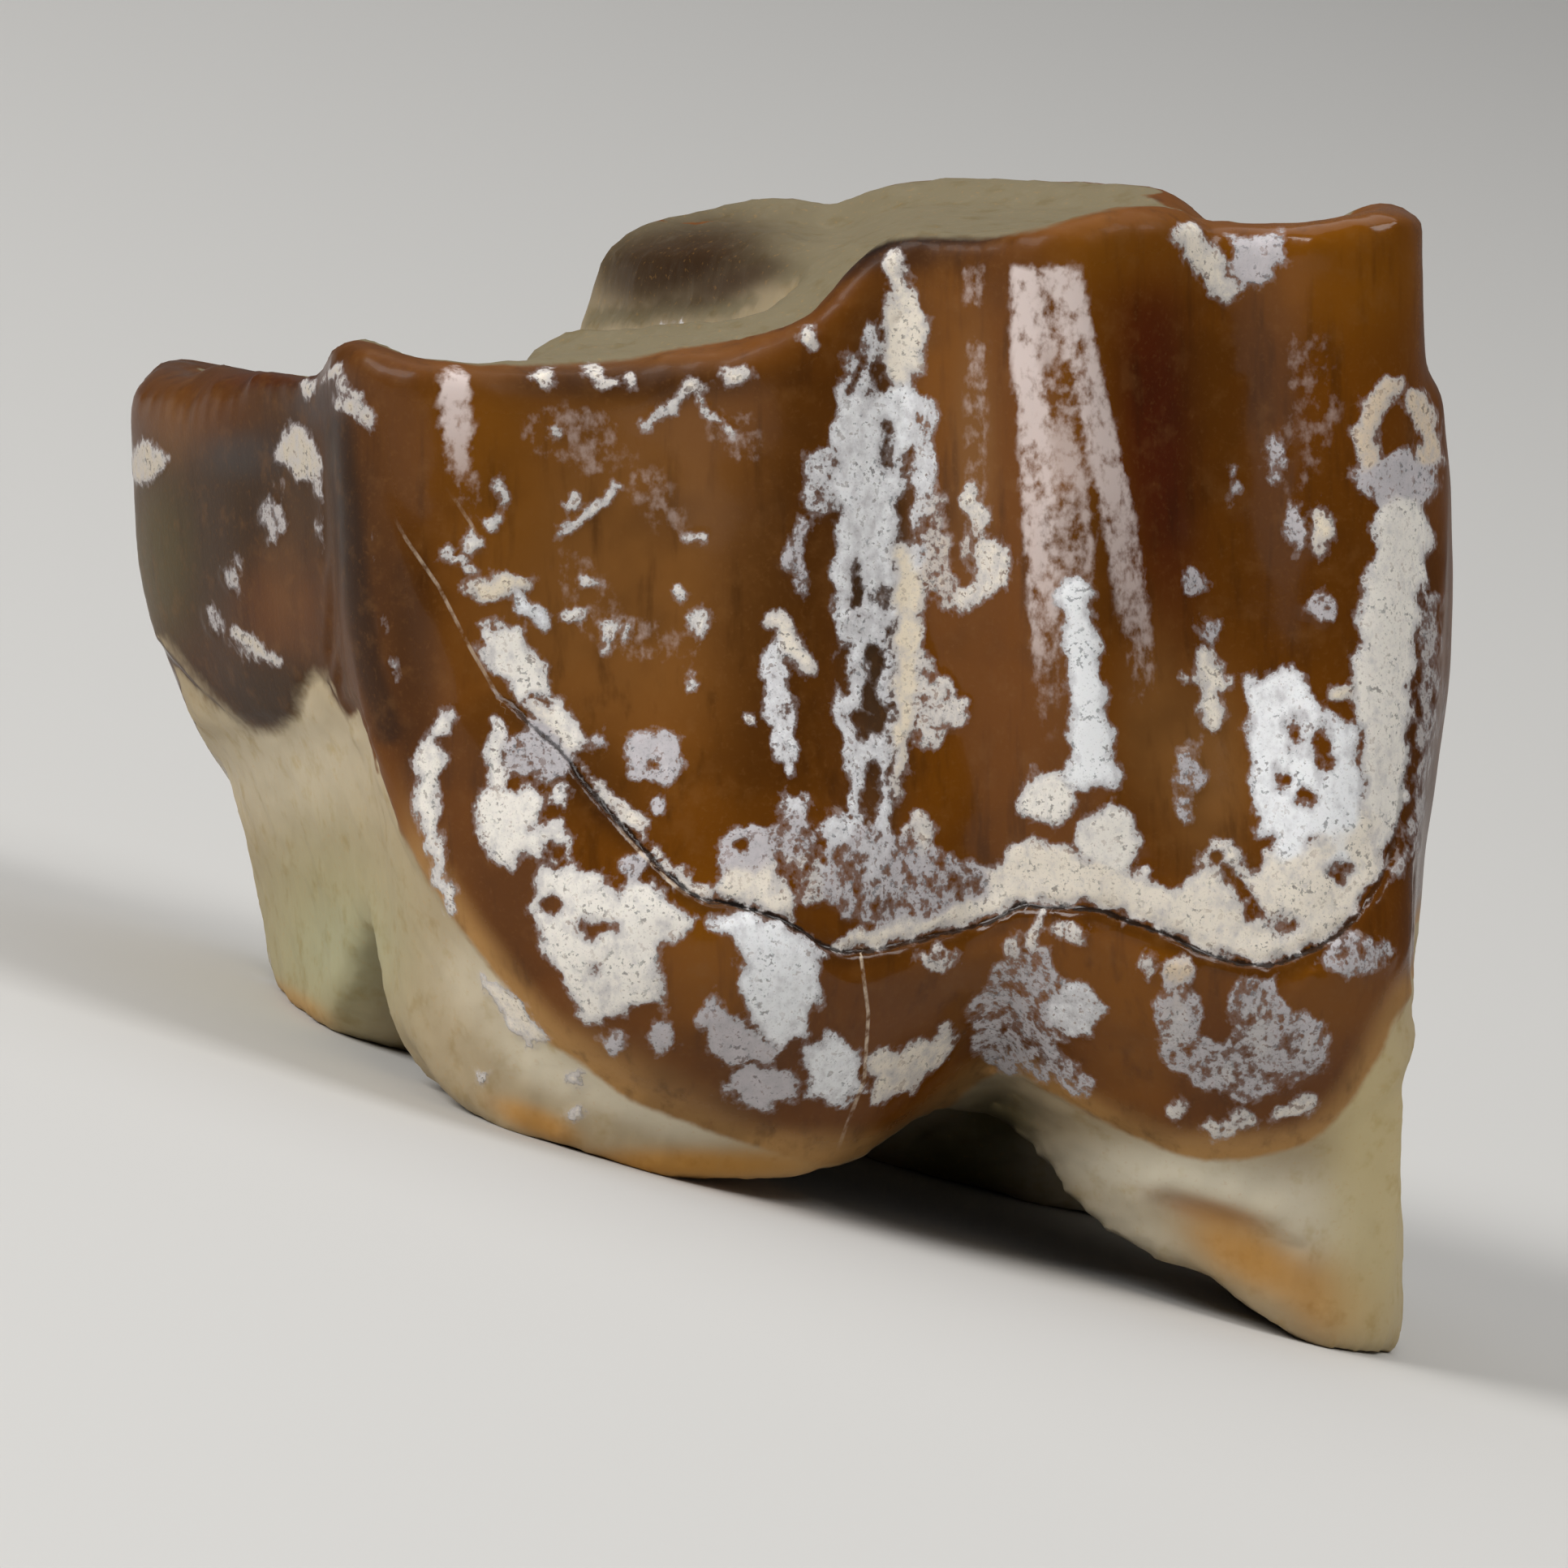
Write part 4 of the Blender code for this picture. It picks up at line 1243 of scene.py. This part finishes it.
    def read(self) -> None:
        """Reads the skin's places and directions in the tooth's axes."""
        mesh = self.piece.data
        flat = np.empty(len(mesh.vertices) * 3, np.float32)
        mesh.vertices.foreach_get("co", flat)
        back = np.array(self.axes.to_row().inverted())
        self.places = flat.reshape(-1, 3).astype(float) @ back[:3, :3].T + back[:3, 3]
        mesh.vertices.foreach_get("normal", flat)
        turned = flat.reshape(-1, 3).astype(float) @ back[:3, :3].T
        self.facing = turned / np.linalg.norm(turned, axis=1)[:, None]
        self.px, self.py, self.away = self.axes.photo(self.places)
        edges = np.empty(len(mesh.edges) * 2, np.int32)
        mesh.edges.foreach_get("vertices", edges)
        self.first, self.second = edges.reshape(-1, 2).T
        self.links = np.bincount(edges, minlength=len(self.places))

    def store(self) -> None:
        """Writes the shaped places back in the row's metres, inside the solid's box."""
        there = np.array(self.axes.to_row())
        places = self.places @ there[:3, :3].T + there[:3, 3]
        places = np.clip(places, self.lowest, self.highest)
        self.piece.data.vertices.foreach_set("co", places.astype(np.float32).ravel())
        self.piece.data.update()

    def seen_weight(self) -> np.ndarray:
        """Finds what the camera sees.

        Returns:
            1 for a place in full view, 0 for one that is hidden or turned away.
        """
        # The nearest place in each small cell of the photograph hides what lies well behind it
        column = (self.px / self.view_cell_px).astype(int)
        row = (self.py / self.view_cell_px).astype(int)
        column -= column.min() - 1
        row -= row.min() - 1
        nearest = np.full((row.max() + 2, column.max() + 2), np.inf)
        np.minimum.at(nearest, (row, column), self.away)
        around = nearest[row, column]
        for step_row, step_column in ((1, 0), (-1, 0), (0, 1), (0, -1)):
            around = np.minimum(around, nearest[row + step_row, column + step_column])
        forward = np.array(self.axes.axes()[2])
        towards = -(self.facing @ forward)
        seen = smoothstep(0.0, 0.14, towards) * smoothstep(2.6, 1.6, self.away - around)
        for _ in range(4):
            seen = 0.5 * (seen + self.around(seen))
        return seen

    def sculpt(self) -> None:
        """Sharpens and roughens the skin along its own directions."""
        self.lift_rims()
        self.px, self.py, self.away = self.axes.photo(self.places)
        self.seen = self.seen_weight()
        self.flatten_lip()
        self.crust_fields()
        self.enamel_gap = self.enamel_distance()
        raised = self.crust_height * smoothstep(-0.02, 0.1, self.crust) * self.seen
        forms = (
            self.sharp_ledge, self.sharp_neck, self.worn_bevel, self.root_fold, self.rough_root,
            self.enamel_waves,
        )
        for form in forms:
            raised += form()
        self.places += self.facing * raised[:, None]

    def lift_rims(self) -> None:
        """Stretches the back part's near rim and a stretch of the outer rim up to their true height."""
        x, y, z = self.places.T
        gap, _, _ = line_distance(BACK_RIM, x, y)
        back = np.interp(self.px, *np.array(BACK_RIM_LIFT).T)
        back *= smoothstep(1.8, 0.9, gap) * smoothstep(11.5, 14.6, z) * smoothstep(-8.5, -9.0, x)
        outer = np.interp(self.px, *np.array(OUTER_RIM_LIFT).T)
        outer *= smoothstep(15.5, 18.2, z) * smoothstep(7.0, 3.5, y)
        self.places[:, 2] += back + outer

    def flatten_lip(self) -> None:
        """Smooths the solid's soft enamel lip away where the camera sees it."""
        behind = self.neck_gap_round()
        share = smoothstep(1.5, 0.9, np.abs(behind)) * smoothstep(0.75, 0.35, np.abs(self.facing[:, 2]))
        share = (0.6 * share * self.seen)[:, None]
        for _ in range(self.lip_passes):
            self.places += share * (self.around(self.places) - self.places)

    def sharp_neck(self) -> np.ndarray:
        """Gives the enamel's true lower edge its low crisp step.

        Returns:
            The height to add, in millimetres.
        """
        ahead = -self.below_line(NECK_LINE)
        side = smoothstep(0.75, 0.35, np.abs(self.facing[:, 2])) * self.seen
        return self.lip_height * smoothstep(-0.1, 0.1, ahead) * smoothstep(4.0, 0.4, ahead) * side

    def below_line(self, line: Points) -> np.ndarray:
        """Millimetres below a line of the photograph, negative above it."""
        gap, side, _ = line_distance(line, self.px, self.py)
        return gap * side / self.axes.pixels_per_mm

    def neck_gap_round(self) -> np.ndarray:
        """Measures from the enamel's lower edge, read by the direction from the tooth's middle.

        Returns:
            Millimetres above that edge.
        """
        x, y, z = self.places.T
        neck = np.array(NECK_HEIGHTS)
        angles = np.arctan2(neck[:, 1] - NECK_MIDDLE[1], neck[:, 0] - NECK_MIDDLE[0])
        order = np.argsort(angles)
        direction = np.arctan2(y - NECK_MIDDLE[1], x - NECK_MIDDLE[0])
        return z - np.interp(direction, angles[order], neck[order, 2], period=2 * math.pi)

    def ledge_distance(self) -> tuple[np.ndarray, np.ndarray]:
        """Measures from the ledge's line on the outer wall.

        Returns:
            Millimetres below the line, and how strong the ledge and its crack are.
        """
        strength = np.interp(self.px, *np.array(LEDGE_STRENGTH).T)
        wall = self.seen * smoothstep(-9.5, -8.5, self.places[:, 0])
        return self.below_line(LEDGE_LINE), strength * wall

    def sharp_ledge(self) -> np.ndarray:
        """Turns the solid's soft ledge into a crisp one with a crack over it.

        Returns:
            The height to add, in millimetres.
        """
        below, strength = self.ledge_distance()
        crisp = smoothstep(-0.07, 0.07, below) - smoothstep(-self.ledge_reach, self.ledge_reach, below)
        crack = np.exp(-((below / self.crack_width) ** 2))
        return (self.ledge_height * crisp - self.crack_depth * crack) * strength

    def worn_bevel(self) -> np.ndarray:
        """Cuts the worn facet under the outer edge.

        Returns:
            The height to add, in millimetres.
        """
        above = -self.below_line(BEVEL_LINE)
        reach = smoothstep(560, 640, self.px) * smoothstep(960, 880, self.px)
        return -self.bevel_slope * np.clip(above, 0.0, 1.0) * reach * self.seen

    def root_fold(self) -> np.ndarray:
        """Raises the ridge low on the front root and sinks the recess under it.

        Returns:
            The height to add, in millimetres.
        """
        below = self.below_line(FOLD_LINE)
        reach = smoothstep(1395, 1450, self.px) * smoothstep(1640, 1530, self.px)
        recess = smoothstep(-0.15, 0.22, below) * smoothstep(1.7, 0.2, below)
        ridge = np.exp(-(((below + 0.35) / 0.3) ** 2))
        return (self.fold_height * ridge - self.fold_depth * recess) * reach * self.seen

    def rough_root(self) -> np.ndarray:
        """Roughens the broken root and the worn dentine.

        Returns:
            The height to add, in millimetres.
        """
        bare = smoothstep(0.1, -0.3, self.enamel_gap)
        rough = np.zeros(len(bare))
        stretched = self.places * (0.9, 0.9, 0.45)
        for i in np.flatnonzero(bare > 0.02):
            rough[i] = noise.fractal(Vector(stretched[i]), 0.8, 2.2, 4)
        return self.root_relief * rough * bare

    def enamel_waves(self) -> np.ndarray:
        """Gives the enamel its faint growth waves, round the crown and up it.

        Returns:
            The height to add, in millimetres.
        """
        x, _, z = self.places.T
        waves = self.wave_height * np.sin(z * 2.9 + np.sin(x * 0.7))
        flutes = self.flute_height * np.sin(x * 4.3 + np.sin(z * 0.5) * 1.3)
        return (waves + flutes) * smoothstep(0.0, 0.4, self.enamel_gap)

    def enamel_distance(self) -> np.ndarray:
        """Finds how far inside the enamel each place is.

        Returns:
            Millimetres, negative on root and dentine.
        """
        x, y, z = self.places.T
        above = (1.0 - self.seen) * self.neck_gap_round() - self.seen * self.below_line(NECK_LINE)
        walls, side, _ = line_distance(WORN_OUTLINE + WORN_OUTLINE[:1], x, y)
        inner = smoothstep(1.0, 1.8, walls * side) * smoothstep(12.5, 14.0, z)
        gap, _, half = line_distance(BACK_PIT, x, y)
        walls = np.minimum(walls, np.abs(gap - half[:, 0]))
        top = smoothstep(0.35, 0.75, self.facing[:, 2]) * smoothstep(12.0, 13.0, z)
        # On the worn top the enamel is a rim, thinner over the outer wall
        width = self.rim_width - 0.6 * smoothstep(6.0, 3.0, y)
        rim = (width - walls) * top + (2.0 - 2.6 * inner) * (1.0 - top)
        edge = self.seen * self.below_line(TOP_LINE) + (1.0 - self.seen) * np.minimum(rim, above)
        gap, _, half = line_distance(VALLEY, x, y)
        # The valley is lined with dentine, as far as a wavering bound
        bound = 1.5 + 0.16 * np.sin(1.3 * z + 1.0) + 0.08 * np.sin(3.1 * z)
        lining = smoothstep(bound, bound - 0.25, gap / half[:, 0]) * smoothstep(6.5, 8.0, z)
        return np.minimum(above, edge) * (1.0 - lining) - 0.6 * lining

    def crust_fields(self) -> None:
        """Finds how deep in a crust mark each place is, with the mark's tint and cover."""
        count = len(self.px)
        far, trace = -60.0, 1e-6
        # The marks' edges waver by a few pixels
        px = self.px + 4.0 * np.sin(self.py / 9.0 + 2.0 * np.sin(self.px / 17.0))
        py = self.py + 4.0 * np.sin(self.px / 8.0 + 2.0 * np.sin(self.py / 15.0))
        depth = np.full(count, far)
        weights = np.full(count, trace)
        tint = np.ones((count, 3)) * np.array(Tint.CREAM.light) * trace
        cover = np.full(count, 0.8 * trace)
        for group in CRUSTS:
            inside = np.full(count, far)
            for mark in group.marks:
                inside = np.maximum(inside, mark.depth(px, py))
            for hole in group.holes:
                inside = np.minimum(inside, -hole.depth(px, py))
            depth = np.maximum(depth, inside)
            share = np.exp(np.clip(inside, far, 12.0) * 0.35)
            weights += share
            tint += share[:, None] * np.array(group.tint.light)
            cover += share * group.cover
        # The crease between the back part and the outer wall stays clean
        gap, _, _ = line_distance(CREASE_LINE, self.px, self.py)
        depth -= 30.0 * smoothstep(26.0, 14.0, gap)
        self.crust = np.clip(1.7 * depth / self.axes.pixels_per_mm, -1.0, 0.6)
        self.crust = self.crust * self.seen - 0.35 * (1.0 - self.seen)
        self.crust_tint = tint / weights[:, None]
        self.cover = cover / weights

    def washed(self, base: np.ndarray, washes: tuple[Wash, ...]) -> np.ndarray:
        """Lays broad soft tones over one another.

        Args:
            base: The linear colour below them all, one for all places or one for each.
            washes: The tones, from the lowest to the highest.

        Returns:
            One linear colour per place.
        """
        colour = np.ones((len(self.px), 3)) * base
        for wash in washes:
            share = wash.weight(self.px, self.py)[:, None]
            colour = colour * (1.0 - share) + share * np.array(wash.tone.light)
        return colour

    def paint(self) -> None:
        """Puts the fields that the finish reads on the mesh."""
        self.seen = self.seen_weight()
        self.crust_fields()
        self.enamel_gap = self.enamel_distance()
        below, strength = self.ledge_distance()
        top = smoothstep(0.1, 0.5, self.facing[:, 2]) * smoothstep(11.0, 12.5, self.places[:, 2])
        crease_gap, _, _ = line_distance(CREASE_LINE, self.px, self.py)
        crease = smoothstep(70.0, 40.0, crease_gap) * smoothstep(9.0, 7.0, self.places[:, 1])
        # The enamel's lower edge is softer on the back part
        soft = 1.0 - 0.65 * smoothstep(430.0, 400.0, self.px) * self.seen
        line_gap, line_strength = self.fine_lines()
        numbers = {
            "enamel_gap": np.clip(self.enamel_gap * soft, -1.0, 1.0),
            "crust": self.crust,
            "cover": self.cover,
            "unseen": (1.0 - self.seen) * (1.0 - crease) * (1.0 - 0.75 * top),
            "ledge_gap": np.clip(below, -1.0, 1.0),
            "ledge_strength": strength,
            "hollow_shade": self.painted_hollow_shade(),
            "gloss": self.gloss() * (1.0 - 0.9 * crease),
            "line_gap": line_gap,
            "line_strength": line_strength,
            "painted_glare": self.painted_glare_strength() * self.seen,
        }
        for name, values in numbers.items():
            self.put(name, values)
        # Painted shade on the enamel's tone: a painted shadow under the ledge, the painted shadow line at
        # the worn edge, and darker along the crease
        painted_ledge_shadow = strength * smoothstep(0.45, 0.08, below) * smoothstep(-0.02, 0.04, below)
        shadow = np.maximum(painted_ledge_shadow, self.rim_shadow())
        dimmed = (1.0 - 0.6 * crease * smoothstep(26.0, 8.0, crease_gap)) * (1.0 - 0.5 * shadow)
        # The worn top takes the dentine tone, partly its own colour and partly painted shade
        bare = np.outer(1.0 - top, Tone.ROOT.light) + np.outer(top, Tone.DENTINE.light)
        self.put_colour("enamel_tone", self.enamel_tone(dimmed))
        self.put_colour("root_tone", self.washed(bare, ROOT_WASHES))
        self.put_colour("crust_tint", self.crust_tint)

    def rim_shadow(self) -> np.ndarray:
        """Finds the painted shadow line at the worn edge over the middle groove.

        Returns:
            The shadow's strength.
        """
        gap, _, _ = line_distance(TOP_LINE, self.px, self.py)
        reach = smoothstep(970.0, 1010.0, self.px) * smoothstep(1270.0, 1190.0, self.px)
        return 1.6 * smoothstep(14.0, 4.0, gap) * reach * self.seen

    def enamel_tone(self, dimmed: np.ndarray) -> np.ndarray:
        """Lays the enamel's tones, amber where it thins out over the root.

        Args:
            dimmed: What the shadows leave of the light.

        Returns:
            One linear colour per place.
        """
        x, _, z = self.places.T
        tone = self.washed(np.array(Tone.BROWN.light), ENAMEL_WASHES) * dimmed[:, None]
        low_wall = smoothstep(9.0, 6.0, z) * smoothstep(-8.0, -7.2, x)
        thin = self.amber_share * smoothstep(0.65, 0.05, self.enamel_gap) * low_wall
        return tone * (1.0 - thin)[:, None] + np.outer(thin, Tone.AMBER.light)

    def gloss(self) -> np.ndarray:
        """Says how polished the enamel is: dull on the back part, the right flank and the worn edge.

        Returns:
            1 where it is polished, 0 where it is dull.
        """
        back = smoothstep(455.0, 410.0, self.px) * self.seen
        flank = smoothstep(1735.0, 1765.0, self.px)
        low = smoothstep(12.0, 9.0, self.places[:, 2])
        edge = smoothstep(0.35 - 0.3 * low, 1.3 - 0.6 * low, self.enamel_gap)
        return (1.0 - 0.85 * back) * (1.0 - 0.6 * flank) * edge

    def fine_lines(self) -> tuple[np.ndarray, np.ndarray]:
        """Measures how far each place is from the fine pale lines.

        Returns:
            The signed distance to the nearest line in millimetres, and how strong that line is.
        """
        best = np.ones(len(self.px))
        strength = np.zeros(len(self.px))
        for line in FINE_LINES:
            gap, side, values = line_distance(line, self.px, self.py)
            gap = gap / self.axes.pixels_per_mm
            nearer = gap < np.abs(best)
            best = np.where(nearer, gap * side, best)
            strength = np.where(nearer, values[:, 0] * smoothstep(0.5, 0.2, gap), strength)
        return best, strength * self.seen

    def painted_glare_strength(self) -> np.ndarray:
        """Finds how strong the painted glare is at each place.

        Returns:
            The strength, from 0 to 1.
        """
        strength = np.zeros(len(self.px))
        for points in PAINTED_GLARE:
            gap, _, values = line_distance(points, self.px, self.py)
            inside = smoothstep(-5.0, 5.0, values[:, 0] - gap)
            strength = np.maximum(strength, inside * values[:, 1])
        return strength * smoothstep(PAINTED_GLARE_TOP, PAINTED_GLARE_TOP + 10.0, self.py)

    def painted_hollow_shade(self) -> np.ndarray:
        """Finds the painted shade in the hollows, between the root stumps and down in the valley.

        Returns:
            The share of painted shade, from 0 to 1.
        """
        x, y, z = self.places.T
        floor = FLOOR_HEIGHT - math.tan(math.radians(self.axes.lean_deg)) * x
        under = smoothstep(-0.3, -0.75, self.facing[:, 2]) * smoothstep(0.4, 1.2, z - floor)
        under *= (1.0 - self.seen * smoothstep(4.0, 2.0, y)) * smoothstep(-8.4, -6.4, x)
        gap, _, half = line_distance(VALLEY, x, y)
        valley = smoothstep(0.9, 0.4, gap / half[:, 0]) * smoothstep(15.0, 12.0, z) * (z > 7.0)
        return np.clip(0.8 * under + 0.35 * valley * (1.0 - self.seen), 0.0, 0.9)

    def put(self, name: str, values: np.ndarray) -> None:
        """Stores one number for each vertex."""
        made = self.piece.data.attributes.new(name, "FLOAT", "POINT")
        made.data.foreach_set("value", values.astype(np.float32))

    def put_colour(self, name: str, values: np.ndarray) -> None:
        """Stores one linear colour for each vertex.

        Args:
            name: What the finish calls it.
            values: Red, green and blue, one row per vertex.
        """
        made = self.piece.data.attributes.new(name, "FLOAT_COLOR", "POINT")
        full = np.hstack([values, np.ones((len(values), 1))])
        made.data.foreach_set("color", full.astype(np.float32).ravel())

    def dress(self) -> None:
        """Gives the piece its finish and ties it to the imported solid."""
        self.piece.data.materials.clear()
        self.piece.data.materials.append(ToothFinish().make())
        self.piece.data.shade_smooth()
        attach(self.piece, "root")
        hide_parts("tooth")


@dataclass(frozen=True)
class SoftLight:
    """One rectangular studio light, placed in the tooth's millimetres."""

    name: str
    place: tuple[float, float, float]
    width_mm: float
    height_mm: float
    watts: float


@dataclass
class Studio:
    """The pale floor, the soft lights and the camera at the photograph's angle."""

    axes: ToothFrame
    floor_size: float = 6.0
    aim: tuple[float, float, float] = (0.0, 6.0, 9.0)
    sky: tuple[float, float, float] = (0.62, 0.63, 0.65)
    sky_strength: float = 0.2
    camera_reach: float = 100.0
    lights: tuple[SoftLight, ...] = (
        SoftLight("key", (-330.0, -210.0, 430.0), 280.0, 280.0, 2.7),
        SoftLight("ceiling", (60.0, 160.0, 480.0), 500.0, 500.0, 0.9),
        SoftLight("front_right", (400.0, -160.0, 430.0), 260.0, 260.0, 1.35),
    )

    def build(self) -> None:
        """Makes the floor, the lights, the surroundings and the camera."""
        self.lay_floor()
        for light in self.lights:
            self.hang(light)
        self.fill()
        self.set_camera()

    def lay_floor(self) -> None:
        """Lays a wide pale floor under the tooth."""
        bpy.ops.object.select_all(action="DESELECT")
        bpy.ops.mesh.primitive_plane_add(size=self.floor_size, location=(0.0, 0.0, 0.0))
        floor = bpy.context.active_object
        floor.name = "floor"
        floor.data.materials.append(FloorFinish().make())

    def hang(self, light: SoftLight) -> None:
        """Hangs one light and turns it to the tooth.

        Args:
            light: What to hang and where.
        """
        lamp = bpy.data.lights.new(light.name, "AREA")
        lamp.shape = "RECTANGLE"
        lamp.size = light.width_mm * MM
        lamp.size_y = light.height_mm * MM
        lamp.energy = light.watts
        made = bpy.data.objects.new(light.name, lamp)
        bpy.context.scene.collection.objects.link(made)
        place = Vector(light.place)
        turn = (place - Vector(self.aim)).to_track_quat("Z", "Y").to_matrix().to_4x4()
        pose = Matrix.Translation(place * MM) @ turn
        made.matrix_world = self.axes.stand() @ pose

    def fill(self) -> None:
        """Fills the surroundings with an even pale light."""
        world = bpy.data.worlds.new("studio")
        world.use_nodes = True
        background = world.node_tree.nodes["Background"]
        background.inputs["Color"].default_value = (*self.sky, 1.0)
        background.inputs["Strength"].default_value = self.sky_strength
        bpy.context.scene.world = world

    def set_camera(self) -> None:
        """Sets the camera where the photograph was taken from."""
        lens = bpy.data.cameras.new("photo_camera")
        lens.sensor_width = self.axes.sensor_mm
        lens.lens = self.axes.lens_mm()
        lens.clip_end = self.camera_reach
        camera = bpy.data.objects.new("photo_camera", lens)
        bpy.context.scene.collection.objects.link(camera)
        camera.matrix_world = self.axes.camera_pose()
        bpy.context.scene.camera = camera
        bpy.context.scene.view_settings.view_transform = "Standard"


def main() -> None:
    """Builds the specimen and the studio, in order."""
    logging.basicConfig(level=logging.INFO, format="%(name)s: %(message)s")
    axes = ToothFrame()
    piece = Specimen(axes).build(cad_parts["tooth"])
    faces = sum(len(polygon.vertices) - 2 for polygon in piece.data.polygons)
    LOG.info("specimen built with %d triangles", faces)
    Studio(axes).build()
    LOG.info("studio set with a floor, soft lights and the photograph's camera")


if __name__ == "__main__":
    main()
